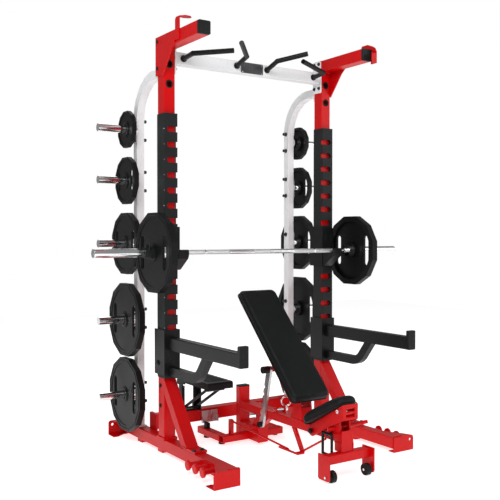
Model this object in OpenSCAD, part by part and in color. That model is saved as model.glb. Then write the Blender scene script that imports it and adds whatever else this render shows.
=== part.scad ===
// Half rack weightlifting station: frame, barbell, plate storage, fold-down step and docked bench.
// The left half is drawn once and mirrored; Y = 0 of the layout is the centre line of the uprights.

/* [Frame] */
// Distance between the centres of the two uprights
upright_span = 1168; // [1100:2:1300]
// Outside width of the square upright tube
upright_tube = 76; // [70:1:90]
// Height of the rack over everything
rack_h = 2448; // [2300:5:2700]
// Wall of all heavy tubes
tube_wall = 4; // [3:0.5:6]
// Reach of the base in front of the uprights
base_front = 737; // [680:5:900]
// Reach of the base behind the uprights
base_rear = 600; // [500:5:700]
// Height of the base rail's top above the floor
rail_top = 90; // [80:1:110]
// Depth of the base rail tube
rail_h = 70; // [60:1:76]
// Width of the base rail tube
rail_w = 70; // [60:1:76]
// Depth of the slanted brace, square to its slope
brace_depth = 52; // [40:1:70]
// Reach of the top arms in front of the uprights
arm_reach = 447; // [300:5:600]
// Diameter of the accessory holes at the top of each upright
top_hole_d = 38; // [20:1:45]

/* [Wear sleeves] */
// Height of the sleeve's lower end
sleeve_low = 456; // [430:2:470]
// Height of the sleeve's upper end
sleeve_high = 2000; // [1950:5:2100]
// Thickness of the slotted front block
sleeve_front = 22; // [16:1:30]
// Thickness of the sleeve's side walls
sleeve_side = 5; // [4:0.5:8]
// Number of hook slots
slot_count = 14; // [8:1:14]
// Distance from slot to slot
slot_pitch = 89; // [80:1:89]
// Height of one slot
slot_h = 34; // [24:1:40]

/* [Bar and hooks] */
// Length of the barbell
bar_length = 2200; // [2000:10:2300]
// Diameter of the bar's grip shaft
shaft_d = 28; // [25:0.5:32]
// Diameter of the bar's loading sleeves
bar_sleeve_d = 50; // [48:0.5:50]
// Height of the bar's centre
bar_z = 1192; // [1150:1:1250]
// How far the bar lies in front of the uprights' centres
bar_y = 142; // [130:1:160]
// Height of the hook bracket
hook_h = 252; // [200:2:300]

/* [Safety arms] */
// Reach of the safety arms from the uprights' centres
safety_reach = 837; // [700:5:950]
// Height of the top face of the safety arms
safety_top = 698; // [690:2:760]
// Depth of the safety arm tube
safety_tube_h = 76; // [60:1:90]
// Width of the safety arm tube
safety_tube_w = 51; // [40:1:60]

/* [Weights] */
// Thickness of the largest plate
plate_t = 37; // [30:1:45]
// Clearance between a plate's hole and what carries it, on the diameter
plate_play = 1; // [0.8:0.1:3]
// Diameter of the storage horns
horn_d = 48; // [40:1:49]
// Reach of a storage horn from the post's centre line
horn_reach = 274; // [240:2:330]

/* [Storage posts] */
// Distance of the storage posts behind the uprights
post_y = 374; // [340:2:420]
// Outside width of the storage post tube
post_tube = 51; // [45:1:60]
// Radius of the bend at the top of the post
post_bend = 250; // [200:5:300]

/* [Step] */
// Height of the step's tread
step_z = 420; // [380:5:440]
// Length of the tread
step_len = 392; // [300:2:400]
// Width of the tread
step_w = 172; // [150:2:200]

/* [Bench] */
// Width of the backrest pad
back_w = 262; // [230:2:300]
// Length of the backrest pad
back_len = 812; // [700:2:830]
// Thickness of the backrest pad
back_t = 58; // [45:1:65]
// Backrest angle at rest
back_angle = 45.5; // [40:0.5:50]
// Length of the seat pad
seat_len = 318; // [290:2:330]
// Thickness of the seat pad
seat_t = 60; // [40:1:64]
// Seat angle at rest
seat_angle = 29.8; // [20:0.2:32]
// Width of the bench's main tube
spine_w = 76; // [60:1:80]
// Depth of the bench's main tube
spine_h = 51; // [45:1:60]
// Diameter of the transport wheels
wheel_d = 64; // [50:1:70]

/* [Hidden] */
$fn = 48;

gap = 0.5;                             // clearance of parts that slide on each other
half_span = upright_span / 2;
half_tube = upright_tube / 2;
front_face = -half_tube;               // Y of the uprights' front faces
sleeve_face = front_face - sleeve_front;
sleeve_half = half_tube + sleeve_side;
plate_steel = 8;                       // thickness of flat steel plates
foot_gap = rail_top - rail_h;          // the rails stand on their end plates

// Base rail, on the left side
rail_in = half_span - 42;
rail_out = rail_in + rail_w;
rail_x = -(rail_in + rail_out) / 2;
end_out = rail_in + 157;               // outer edge of the end plates
peg_ys = [-446, -526, -604];
peg_tip = 694;
foot_plate_t = 14;

// Rear crossmember
cross_y = 212;
cross_tube = 76;
cross_z = 104;

// Top crossmember
top_beam_h = 72;
top_beam_d = 58;
top_beam_z = rack_h - 152;
flange_h = 208;
flange_w = upright_tube + 6;

// Hooks and arms clamp round the sleeve
clamp_t = 8;
clamp_front = sleeve_face - gap;
clamp_in = sleeve_half + gap;
hook_low = bar_z - 104;
tongue_end = bar_y + 44;
safety_low = safety_top - safety_tube_h;

// Bar
shaft_r = shaft_d / 2;
bar_flange = half_span + 91;
bar_flange_t = 30;
bar_plate_in = bar_flange + bar_flange_t + gap;
collar_len = 55;

// Stored plates, from the top: diameter, thickness and height of the horn
plate_ds = [225, 290, 380, 450, 450];
plate_ts = [24, 28, 33, plate_t, plate_t];
horn_zs = [1948, 1630, 1240, 766, 300];
post_r = post_tube / 2;
horn_stop = 68;                        // plates rest this far from the post's centre line
bolt_rise = 58;                        // horn bolts above and below the horn
bend_z = 2000;                         // where the post starts to bend

// Step
step_x = -316;
step_hinge_y = 200;
step_t = 22;
step_pin_z = step_z - step_t - 20;        // hinge of the tread
strut_pin_z = cross_z + cross_tube + 26; // lower pivot of the strut
step_post_x = 60;                      // bracket plates, from the tread's middle
roller_r = 19;
roller_y = -110;

// Bench
spine_top = 238;
spine_z = spine_top - spine_h;
bench_front = -985;
foot_beam_z = 90;
foot_beam_h = 50;
foot_half = 150;
back_pivot = [-560, 345];              // Y and Z of the backrest's hinge
back_offset = 102;                     // pivot to the pad's front face
back_low = -41;                        // pad's lower end, along the pad from the pivot
ladder_pivot = [288, -85];             // on the backrest: along and off its tube
ladder_len = 353;
ladder_swing = -122.3;                 // from the backrest to the strut
pin_lug_y = -330;                      // lugs of the pull pin on the main tube
pin_lug_z = spine_top + 12;
seat_in = spine_w / 2 + 6;             // inner face of the seat's side plates
seat_pivot = [-933, 358];
seat_base = 14;                        // seat pad's underside above the seat pivot
seat_back = 262;                       // pad's rear edge, from the pivot
seat_tail = 271;                       // rounded lower end of the side plates
pin_play = 0.06;                       // clearance of a turning pin in its hole, on the radius
wheel_r = wheel_d / 2;
wheel_x = 120;
wheel_y = -960;
wheel_t = 24;

front_y = min(bench_front, wheel_y - wheel_r);
rear_y = max(base_rear, post_y + plate_ds[3] / 2);
frame_y = -(front_y + rear_y) / 2;     // puts the origin under the middle of the whole

module place() { translate([0, frame_y, 0]) children(); }
module to_right() { mirror([1, 0, 0]) children(); }

// Flat rectangle with round corners, centred
module round_rect(w, d, r) {
    square([w - 2 * r, d], center = true);
    square([w, d - 2 * r], center = true);
    for (i = [-1, 1], j = [-1, 1]) translate([i * (w / 2 - r), j * (d / 2 - r)]) circle(r);
}

// Rectangular tube standing on Z, its middle line through the origin
module tube_z(w, d, h, wall = tube_wall, r = 6) {
    difference() {
        linear_extrude(h) round_rect(w, d, r);
        translate([0, 0, -1]) linear_extrude(h + 2) round_rect(w - 2 * wall, d - 2 * wall, 2);
    }
}
// The same tube lying along +Y from the origin; w across X and h up Z
module tube_y(w, h, len, wall = tube_wall, r = 6) { rotate([-90, 0, 0]) tube_z(w, h, len, wall, r); }
// The same tube lying along +X from the origin; d across Y and h up Z
module tube_x(d, h, len, wall = tube_wall, r = 6) { rotate([0, 90, 0]) tube_z(h, d, len, wall, r); }

// Side view (Y, Z) given a thickness along X, starting at x
module side_plate(x, t) {
    translate([x, 0, 0]) rotate([90, 0, 90]) linear_extrude(t) children();
}

// Hexagon head and washer, axis +X, standing on the origin
module bolt_x(d = 20, h = 9) {
    rotate([0, 90, 0]) {
        cylinder(d = d * 1.35, h = 2);
        translate([0, 0, 2]) cylinder(d = d, h = h - 2, $fn = 6);
    }
}

// ---------------------------------------------------------------- base and uprights
module end_plate(hole) {
    hole_r = 9;
    difference() {
        union() {
            translate([-end_out + 18, 0, 0]) cube([end_out - rail_in - 18, plate_steel, rail_top]);
            translate([-end_out, 0, 0]) cube([19, plate_steel, rail_top - 18]);
            translate([-end_out + 18, 0, rail_top - 18]) rotate([-90, 0, 0])
                cylinder(r = 18, h = plate_steel);
        }
        if (hole) translate([-end_out + 26, -1, rail_top - 26]) rotate([-90, 0, 0])
            cylinder(r = hole_r, h = plate_steel + 2);
    }
}

module base_rail(front_hole) {
    y0 = -base_front;
    rail_len = base_front + base_rear;
    // rail, with drain holes underneath
    difference() {
        translate([rail_x, y0 + plate_steel, foot_gap + rail_h / 2])
            tube_y(rail_w, rail_h, rail_len - 2 * plate_steel);
        for (y = [y0 + 60, base_rear - 60]) translate([rail_x, y, foot_gap - 1]) cylinder(r = 6, h = tube_wall + 2);
    }
    translate([0, y0, 0]) end_plate(front_hole);
    translate([0, base_rear - plate_steel, 0]) end_plate(true);
    // folded flanges behind each end plate
    for (side = [[y0 + plate_steel, 1], [base_rear - plate_steel, -1]])
        translate([0, side[0], 0]) scale([1, side[1], 1]) {
            linear_extrude(5) polygon([[-end_out, 0], [-end_out, 78], [-end_out + 34, 78], [-rail_out, 40],
                [-rail_in, 40], [-rail_in, 0]]);
            translate([0, 0, rail_top - 5]) linear_extrude(5)
                polygon([[-end_out + 18, 0], [-end_out + 30, 36], [-rail_out - 14, 110], [-rail_out + 8, 140], [-rail_out + 8, 0]]);
        }
    // feet under the rail
    for (y = [-380, 20, 300]) translate([rail_x - rail_w / 2 + 8, y, 0]) cube([rail_w - 16, 60, foot_gap + 1]);
    // band pegs: stem and round head
    for (y = peg_ys) translate([-rail_out + 1, y, foot_gap + rail_h / 2 + 2]) rotate([0, -90, 0]) {
        cylinder(r = 14, h = peg_tip - rail_out - 8);
        translate([0, 0, peg_tip - rail_out - 9]) cylinder(r = 27, h = 10);
    }
    // lug that holds the rear crossmember
    translate([-rail_in + 1 - 10, cross_y - 8, rail_top - 1]) cube([10, cross_tube + 16, cross_z + cross_tube - rail_top + 9]);
    // foot plate of the brace and of the upright
    translate([rail_x - 40, -392, rail_top]) cube([80, 132, foot_plate_t]);
    translate([-half_span - 44, -50, rail_top]) cube([88, 100, foot_plate_t]);
}

module upright() {
    z0 = rail_top + foot_plate_t;
    difference() {
        translate([-half_span, 0, z0]) tube_z(upright_tube, upright_tube, rack_h - z0 - 5);
        for (z = [rack_h - 160, rack_h - 275]) translate([-half_span, -half_tube - 1, z]) rotate([-90, 0, 0])
            cylinder(d = top_hole_d, h = upright_tube + 2);
    }
    translate([-half_span, 0, rack_h - 5]) linear_extrude(5) round_rect(upright_tube, upright_tube, 6);
}

module wear_sleeve() {
    h = sleeve_high - sleeve_low;
    first = sleeve_high - 92;
    translate([-half_span, 0, 0]) difference() {
        translate([0, (sleeve_face + half_tube) / 2, sleeve_low])
            linear_extrude(h) round_rect(2 * sleeve_half, half_tube - sleeve_face, 4);
        translate([-half_tube, front_face, sleeve_low - 1]) cube([upright_tube, upright_tube + 10, h + 2]);
        // slots open towards the middle of the rack
        for (i = [0:slot_count - 1]) translate([0, 0, first - i * slot_pitch]) {
            translate([-10, sleeve_face - 1, -slot_h / 2]) cube([sleeve_half + 11, sleeve_front + 1, slot_h]);
            translate([-10, sleeve_face - 1, 0]) rotate([-90, 0, 0]) cylinder(d = slot_h, h = sleeve_front + 1);
        }
    }
}

// The brace leans from the rail's foot plate up to the upright's front face
module brace() {
    brace_top = sleeve_low - 8;
    brace_low = rail_top + foot_plate_t;
    lean = 51.7;
    run = (brace_top - brace_low) / tan(lean);
    back = brace_depth / sin(lean);
    y_top = front_face;
    difference() {
        side_plate(-half_span - half_tube, upright_tube)
            polygon([[y_top, brace_top], [y_top - run, brace_low], [y_top - run + back, brace_low],
                [y_top, brace_top - back * tan(lean)]]);
        side_plate(-half_span - half_tube + tube_wall, upright_tube - 2 * tube_wall)
            polygon([[y_top + 1, brace_top - tube_wall * 2], [y_top - run + 2 * tube_wall, brace_low - 1],
                [y_top - run + back - 2 * tube_wall, brace_low - 1], [y_top + 1, brace_top - back * tan(lean) + 2 * tube_wall]]);
    }
}

// ---------------------------------------------------------------- top of the rack
module top_arm() {
    arm_h = 74;
    translate([-half_span, -arm_reach + 14, rack_h - arm_h / 2])
        tube_y(upright_tube, arm_h, arm_reach - 14 - half_tube);
    // gusset on the outer face
    side_plate(-half_span - half_tube - plate_steel, plate_steel) difference() {
        polygon([[half_tube + 10, rack_h - 224], [half_tube + 10, rack_h], [-185, rack_h], [-185, rack_h - arm_h + 4],
            [-150, rack_h - arm_h - 24], [-38, rack_h - 236], [0, rack_h - 224]]);
    }
}

module arm_end_caps() {
    for (s = [-1, 1]) translate([s * half_span, -arm_reach, rack_h - 37]) {
        rotate([-90, 0, 0]) linear_extrude(14) round_rect(upright_tube, 74, 8);
        rotate([-90, 0, 0]) translate([0, 0, 13]) linear_extrude(26)
            round_rect(upright_tube - 2 * tube_wall - gap, 74 - 2 * tube_wall - gap, 2);
    }
}

// Left: an upright strap with a flap turned in. Right: a plate that hooks round the arm's end
module rope_hangers() {
    strap = 8;
    arm_low = rack_h - 74;
    side_plate(-half_span - half_tube - plate_steel, plate_steel)
        polygon([[-196, rack_h], [-196, rack_h + 54], [-206, rack_h + 66], [-230, rack_h + 66], [-240, rack_h + 56],
            [-240, rack_h - 60], [-186, rack_h - 60], [-186, rack_h]]);
    translate([-half_span - half_tube - plate_steel + 1, -236, rack_h + 58]) linear_extrude(strap)
        polygon([[0, 0], [34, 4], [58, -6], [70, -22], [56, -34], [24, -34], [0, -8]]);
    side_plate(half_span + half_tube, strap) {
        polygon([[-330, rack_h - 30], [-352, rack_h + 39], [-405, rack_h + 39], [-447, rack_h + 22], [-447, arm_low - 14],
            [-436, arm_low - 14], [-436, arm_low + 14], [-330, arm_low + 14]]);
        translate([-483, arm_low - 14]) square([40, rack_h - 16 - arm_low + 14]);
        polygon([[-483, rack_h - 17], [-470, rack_h + 8], [-447, rack_h + 22], [-440, rack_h - 17]]);
    }
    translate([half_span + 6, -483, arm_low - 14]) cube([half_tube - 5, 6, 60]);
}

module top_crossmember() {
    inner = half_span - half_tube;
    translate([-inner + plate_steel, 0, top_beam_z + top_beam_h / 2]) tube_x(top_beam_d, top_beam_h, 2 * (inner - plate_steel), 3);
    for (s = [-1, 1]) translate([s * (inner - plate_steel / 2) - plate_steel / 2, 0, rack_h - flange_h / 2 - 4])
        rotate([0, 90, 0]) linear_extrude(plate_steel) round_rect(flange_h, flange_w, 8);
}

module name_plate() {
    translate([0, -top_beam_d / 2, top_beam_z + top_beam_h / 2]) rotate([90, 0, 0]) linear_extrude(3) round_rect(164, 66, 4);
}

// A bar bent once: foot on the beam, elbow and free end, as one swept round bar
module bent_grip(a, b, c, r) {
    for (seg = [[a, b], [b, c]]) {
        d = seg[1] - seg[0];
        len = norm(d);
        translate(seg[0]) rotate([0, acos(d[2] / len), atan2(d[1], d[0])]) cylinder(r = r, h = len, $fn = 32);
    }
    translate(b) sphere(r = r + 0.6, $fn = 32);
}

module pull_up_grips() {
    z = top_beam_z + top_beam_h / 2;
    y = -top_beam_d / 2 - 4;
    for (s = [-1, 1]) {
        bent_grip([s * 485, y, z], [s * 485, y - 107, z + 10], [s * 255, y - 187, z + 41], 15);
        bent_grip([s * 113, y, z + 4], [s * 113, y - 110, z + 39], [s * 242, y - 252, z + 74], 15);
        for (x = [485, 113]) translate([s * x, y + 4, z + (x == 113 ? 4 : 0)]) rotate([90, 0, 0]) cylinder(r = 20, h = 7);
    }
}

module storage_post() {
    z0 = rail_top;
    r_in = post_tube / 2 - 3;
    back_end = half_tube;
    translate([-half_span, post_y, z0 + 8]) tube_z(post_tube, post_tube, bend_z - z0 - 8, 3, 5);
    translate([-half_span - 30, post_y - 45, z0]) cube([60, 90, 8]);
    // bend forward, then level to the back of the upright
    translate([-half_span, post_y - post_bend, bend_z]) rotate([90, 0, 90]) rotate_extrude(angle = 90, $fn = 96)
        translate([post_bend, 0]) difference() {
            square(post_tube, center = true);
            square(2 * r_in, center = true);
        }
    translate([-half_span, back_end + plate_steel, bend_z + post_bend])
        tube_y(post_tube, post_tube, post_y - post_bend - back_end - plate_steel, 3, 5);
    translate([-half_span - 36, back_end, bend_z + post_bend - 60]) cube([72, plate_steel, 120]);
}

module plate_horns() {
    for (s = [0, 1]) mirror([s, 0, 0]) for (z = horn_zs) translate([-half_span - post_r, post_y, z]) rotate([0, -90, 0]) {
        translate([-76, -post_r + 2, 0]) cube([152, post_tube - 4, 6]);
        cylinder(d = 74, h = horn_stop - post_r - gap);
        cylinder(d = horn_d, h = horn_reach - post_r);
    }
}

module frame_fasteners() {
    for (s = [0, 1]) mirror([s, 0, 0]) {
        // horn bolts: heads outside, nuts inside
        for (z = horn_zs, dz = [-bolt_rise, bolt_rise]) {
            translate([-half_span + post_r, post_y, z + dz]) bolt_x(21, 24);
            translate([-half_span - post_r - 6, post_y, z + dz]) rotate([0, 0, 180]) bolt_x(20, 9);
        }
        // gusset and upright bolts
        for (z = [rack_h - 26, rack_h - 182]) translate([-half_span - half_tube - plate_steel, 24, z]) rotate([0, 0, 180]) bolt_x(17, 7);
        for (z = [rail_top + 199, rail_top + 317]) translate([-half_span - half_tube, 8, z]) rotate([0, 0, 180]) bolt_x(20, 8);
        // top crossmember flanges
        for (y = [-24, 24], dz = [22, 182]) translate([-half_span + half_tube + plate_steel, y, rack_h - dz]) bolt_x(17, 9);
        // brace: two on the foot plate, one near the top
        for (x = [-26, 26]) translate([-half_span + x, -372, rail_top + foot_plate_t]) rotate([0, -90, 0]) bolt_x(20, 9);
        // rear crossmember ends
        for (y = [20, 60]) translate([-rail_in + 1 + plate_steel, cross_y + y - 2, cross_z + 38]) bolt_x(15, 8);
    }
}

module rear_crossmember() {
    end_x = rail_in - 1;
    translate([-end_x + plate_steel, cross_y + cross_tube / 2, cross_z + cross_tube / 2])
        tube_x(cross_tube, cross_tube, 2 * (end_x - plate_steel));
    for (x = [-end_x, end_x - plate_steel]) translate([x, cross_y - 8, cross_z - 8])
        cube([plate_steel, cross_tube + 16, cross_tube + 16]);
}

// Steel catch plates that the bench's rear feet dock into
module dock_plates() {
    for (s = [-1, 1]) translate([s * 169, cross_y - 6, 0]) {
        translate([-59, 0, 92]) cube([118, 6, 76]);
        for (x = [-59, 53]) translate([x, -12, 92]) cube([6, 13, 40]);
    }
}

// ---------------------------------------------------------------- step
module step_bracket() {
    base_z = cross_z + cross_tube;
    for (x = [-step_post_x - 10, step_post_x]) side_plate(step_x + x, 10) difference() {
        union() {
            polygon([[step_hinge_y - 19, base_z], [cross_y + cross_tube - 6, base_z],
                [cross_y + cross_tube - 6, base_z + 34], [step_hinge_y + 19, step_pin_z - 50],
                [step_hinge_y + 19, step_pin_z], [step_hinge_y - 19, step_pin_z]]);
            translate([step_hinge_y, step_pin_z]) circle(r = 19);
        }
        translate([step_hinge_y, step_pin_z]) circle(r = 6.55);
        translate([step_hinge_y, strut_pin_z]) circle(r = 6.55);
    }
    // base plate, and a folded flange behind each plate
    translate([step_x - step_post_x - 10, cross_y + 12, base_z]) cube([2 * step_post_x + 20, cross_tube - 18, 8]);
    for (x = [-step_post_x - 1, step_post_x - 29]) translate([step_x + x, step_hinge_y + 14, base_z + 4])
        cube([30, 5, step_pin_z - base_z - 40]);
}

module step_platform() {
    front = step_hinge_y + 20 - step_len;
    half_w = step_w / 2;
    translate([step_x - half_w, front, 0]) {
        // tread with a rolled front edge and a turned-down lip
        translate([0, 14, step_z - step_t]) cube([step_w, step_len - 14, step_t]);
        translate([0, 14, step_z - 14]) rotate([0, 90, 0]) cylinder(r = 14, h = step_w);
        translate([0, 0, step_z - 40]) cube([step_w, 8, 27]);
    }
    // side flanges, with the hinge stubs
    for (s = [0, 1]) translate([step_x, 0, 0]) mirror([s, 0, 0]) {
        side_plate(half_w - 8, 8) {
            translate([front + 2, step_z - 40]) square([step_len - 90, 24]);
            translate([front + step_len - 100, step_pin_z - 8]) square([80, step_t + 10]);
            translate([step_hinge_y, step_pin_z]) circle(r = 18);
        }
        translate([step_post_x - 2, step_hinge_y, step_pin_z]) rotate([0, 90, 0]) cylinder(r = 6.5, h = half_w - step_post_x - 4);
    }
}

// Two bars with a roller that carries the front of the tread
module step_strut() {
    foot = [step_hinge_y, strut_pin_z];
    head = [roller_y, step_z - step_t - gap - roller_r];
    d = head - foot;
    len = norm(d);
    bar_x = 44;
    for (x = [-bar_x - 8, bar_x]) side_plate(step_x + x, 8) translate(foot) rotate(atan2(d[1], d[0])) {
        translate([0, -8]) square([len, 16]);
        circle(r = 13);
        translate([len, 0]) circle(r = 13);
    }
    translate([step_x - step_post_x - 12, foot[0], foot[1]]) rotate([0, 90, 0]) cylinder(r = 6.5, h = 2 * step_post_x + 24);
    translate([step_x - bar_x - 12, head[0], head[1]]) rotate([0, 90, 0]) cylinder(r = roller_r, h = 2 * bar_x + 24);
}

// ---------------------------------------------------------------- hooks and safety arms
module bar_hook() {
    translate([-half_span, 0, 0]) {
        translate([-sleeve_half, clamp_front - clamp_t, hook_low]) cube([2 * sleeve_half + gap + clamp_t, clamp_t, hook_h]);
        translate([clamp_in, clamp_front - clamp_t, hook_low]) cube([clamp_t, -clamp_front + clamp_t + 62, hook_h]);
        translate([clamp_in - 26, half_tube + gap, hook_low + 20]) cube([26 + clamp_t, clamp_t, hook_h - 40]);
        // cradle: flat seat, raised lip and a long slope beneath
        side_plate(-18, 66) polygon([[clamp_front - 1, bar_z - shaft_r - 5], [-tongue_end + 20, bar_z - shaft_r - 5],
            [-tongue_end + 14, bar_z + 12], [-tongue_end + 8, bar_z + 16], [-tongue_end, bar_z + 12], [-tongue_end, bar_z - 18],
            [-tongue_end + 10, bar_z - 36], [clamp_front - 24, hook_low + 2], [clamp_front - 1, hook_low + 2]]);
        // wear strip on the seat
        side_plate(-18, 66) polygon([[clamp_front - clamp_t, bar_z - shaft_r - gap], [-tongue_end + 20, bar_z - shaft_r - gap],
            [-tongue_end + 20, bar_z - shaft_r - 5], [clamp_front - clamp_t, bar_z - shaft_r - 5]]);
    }
}

module safety_arm() {
    bracket_low = safety_low - 147;
    bracket_h = safety_top - bracket_low + 42;
    tube_end = safety_reach - 20;
    half_h = 26;                       // half depth of the lower brace
    brace_z = safety_low - 124;        // middle of its level part
    bend_y = -328;
    bend_r = 110;
    turn = 52;
    // points of the bend at radius r, and where its straight run meets the arm
    function bend_at(r, a) = [bend_y - r * sin(a), brace_z + bend_r - r * cos(a)];
    function rise_at(r) = [bend_at(r, turn)[0] - (safety_low + 1 - bend_at(r, turn)[1]) / tan(turn), safety_low + 1];
    translate([-half_span, 0, 0]) {
        // clamp: front plate and two side plates
        translate([-clamp_in, clamp_front - clamp_t, bracket_low]) cube([2 * clamp_in, clamp_t, bracket_h]);
        for (x = [-clamp_in - clamp_t, clamp_in]) translate([x, clamp_front - clamp_t, bracket_low])
            cube([clamp_t, -clamp_front + clamp_t + 56, bracket_h]);
        // arm and end stop
        translate([0, -tube_end, safety_low + safety_tube_h / 2])
            tube_y(safety_tube_w, safety_tube_h, tube_end + clamp_front - 1);
        translate([0, -safety_reach, safety_low + 56]) rotate([-90, 0, 0]) linear_extrude(20) round_rect(safety_tube_w + 4, 112, 6);
        // bent brace: level, round bend, then up to the arm's underside
        side_plate(-20, 40) polygon(concat([[clamp_front - 1, brace_z - half_h]],
            [for (a = [0:4:turn]) bend_at(bend_r + half_h, a)], [rise_at(bend_r + half_h)],
            [rise_at(bend_r - half_h)], [for (a = [0:4:turn]) bend_at(bend_r - half_h, turn - a)],
            [[clamp_front - 1, brace_z + half_h]]));
    }
}

// ---------------------------------------------------------------- bar and plates
module bar_shaft() {
    end = bar_length / 2 - 12;
    translate([-end, -bar_y, bar_z]) rotate([0, 90, 0]) cylinder(r = shaft_r, h = 2 * end);
}

module bar_sleeve() {
    end = bar_length / 2;
    bore = shaft_r + 0.05;
    translate([0, -bar_y, bar_z]) rotate([0, -90, 0]) difference() {
        union() {
            translate([0, 0, bar_flange]) cylinder(r = bar_sleeve_d / 2, h = end - bar_flange);
            translate([0, 0, bar_flange]) cylinder(r = 38, h = bar_flange_t);
        }
        translate([0, 0, bar_flange - 1]) cylinder(r = bore, h = end - bar_flange - 10);
    }
}

// Twelve-sided plate with a raised rim and hub, a hole and two grip slots; axis along -X
module weight_plate(d, t, bore_d) {
    rim_r = d / 2 / cos(15);
    web_in = bore_d / 2 + 26;
    web_out = d / 2 * 0.86;
    recess = 3;
    dish = t * 0.58;                   // the inner face is dished
    slot_r = d * 0.047;
    slot_len = d * 0.17;
    slot_x = d * 0.305;
    rotate([0, -90, 0]) difference() {
        rotate(15) cylinder(r = rim_r, h = t, $fn = 12);
        for (cut = [[-1, dish], [t - recess, recess]]) translate([0, 0, cut[0]]) difference() {
            cylinder(r = web_out, h = cut[1] + 1, $fn = 96);
            translate([0, 0, -1]) cylinder(r = web_in, h = cut[1] + 3, $fn = 64);
        }
        translate([0, 0, -1]) cylinder(d = bore_d, h = t + 2);
        if (d > 250) for (s = [-1, 1]) translate([0, s * slot_x, -1]) {
            translate([-slot_len, -slot_r, 0]) cube([2 * slot_len, 2 * slot_r, t + 2]);
            for (e = [-1, 1]) translate([e * slot_len, 0, 0]) cylinder(r = slot_r, h = t + 2);
        }
    }
}

module bar_plate() {
    translate([-bar_plate_in, -bar_y, bar_z]) weight_plate(450, plate_t + 3, bar_sleeve_d + plate_play);
}

module bar_collar() {
    translate([-bar_plate_in - plate_t - 3 - gap, -bar_y, bar_z]) rotate([0, -90, 0]) difference() {
        union() {
            cylinder(r = 33, h = 16);
            cylinder(r = 30, h = collar_len);
            translate([20, -9, 18]) cube([26, 18, 24]);
        }
        translate([0, 0, -1]) cylinder(r = bar_sleeve_d / 2 + gap, h = collar_len + 2);
    }
}

module stored_plate(i) {
    translate([-half_span - horn_stop, post_y, horn_zs[i]]) weight_plate(plate_ds[i], plate_ts[i], bar_sleeve_d + plate_play);
}

// ---------------------------------------------------------------- bench
module bench_frame() {
    post_h = 335;
    col_y = -912;
    nose_y = -940;
    // main tube with its end cap, rear post and lower tube
    translate([0, nose_y, spine_z + spine_h / 2]) tube_y(spine_w, spine_h, 50 - nose_y);
    translate([-spine_w / 2, nose_y - 6, spine_z]) cube([spine_w, 6, spine_h + 14]);
    translate([0, 75, 15]) tube_z(76, 50, post_h - 15 - 8);
    translate([0, -150, 62]) tube_y(72, 94, 201);
    translate([-36, -156, 15]) cube([72, 6, 94]);
    side_plate(-20, 40) polygon([[-148, 108], [-60, 108], [-130, spine_z + 1], [-250, spine_z + 1]]);
    // rear foot: crossbar and two docking arms
    translate([-225, -25, 38]) tube_x(50, 44, 450);
    for (x = [-200, 200]) translate([x, -1, 38]) tube_y(50, 44, 268);
    // post that carries the release rod
    translate([-162, -40, 59]) cube([20, 30, 92]);
    // hinge ears of the backrest, joined by a front plate
    for (x = [-38, 28]) side_plate(x, 10) difference() {
        union() {
            translate([back_pivot[0], back_pivot[1]]) circle(r = 26);
            polygon([[back_pivot[0] - 26, back_pivot[1]], [back_pivot[0] + 26, back_pivot[1]],
                [back_pivot[0] + 70, spine_top - 1], [back_pivot[0] - 40, spine_top - 1]]);
        }
        translate([back_pivot[0], back_pivot[1]]) circle(r = 8);
    }
    side_plate(-29, 58) polygon([[back_pivot[0] - 40, spine_top - 1], [back_pivot[0] - 31, 308], [back_pivot[0] - 25, 308],
        [back_pivot[0] - 32, spine_top - 1]]);
    // front column with its side gusset and the push bar
    translate([0, col_y, foot_beam_z + foot_beam_h]) tube_z(76, 62, spine_z - foot_beam_z - foot_beam_h + 1);
    side_plate(spine_w / 2, 8) polygon([[-882, foot_beam_z + foot_beam_h], [-943, foot_beam_z + foot_beam_h], [-943, 178],
        [-930, spine_top], [-872, spine_top]]);
    push = [[-spine_w / 2 - 34, -868, 252], [spine_w / 2 + 112, -933, 279]];
    push_d = push[1] - push[0];
    translate(push[0]) rotate([0, acos(push_d[2] / norm(push_d)), atan2(push_d[1], push_d[0])]) cylinder(r = 10, h = norm(push_d));
    translate([-10, -902, spine_top - 1]) cube([20, 20, 22]);
    // lugs that carry the pull pin across the main tube
    for (x = [-spine_w / 2 + 2, spine_w / 2 - 10]) side_plate(x, 8) difference() {
        union() {
            translate([pin_lug_y, pin_lug_z]) circle(r = 15);
            translate([pin_lug_y - 15, spine_top - 1]) square([30, 13]);
        }
        translate([pin_lug_y, pin_lug_z]) circle(r = 8.5);
    }
    // ears of the seat pivot, rising from the end of the main tube
    for (x = [-spine_w / 2, spine_w / 2 - 10]) side_plate(x, 10) difference() {
        union() {
            translate([seat_pivot[0], seat_pivot[1]]) circle(r = seat_base - 1.5);
            polygon([[seat_pivot[0] - 12, seat_pivot[1]], [-926, 300], [-930, spine_top - 1], [-850, spine_top - 1],
                [seat_pivot[0] + 12, seat_pivot[1]]]);
        }
        translate([seat_pivot[0], seat_pivot[1]]) circle(r = 7);
    }
}

module bench_front_foot() {
    beam_y = bench_front + 55;
    translate([-foot_half, beam_y, foot_beam_z + foot_beam_h / 2]) tube_x(52, foot_beam_h, 2 * foot_half);
    for (x = [-foot_half - 8, foot_half]) side_plate(x, 8) difference() {
        union() {
            translate([bench_front + 14, 12]) square([64, 134]);
            translate([bench_front, 26]) square([92, 120]);
            for (y = [bench_front + 14, bench_front + 78]) translate([y, 26]) circle(r = 14);
        }
        translate([wheel_y, wheel_r]) circle(r = 6.4);
    }
}

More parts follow.
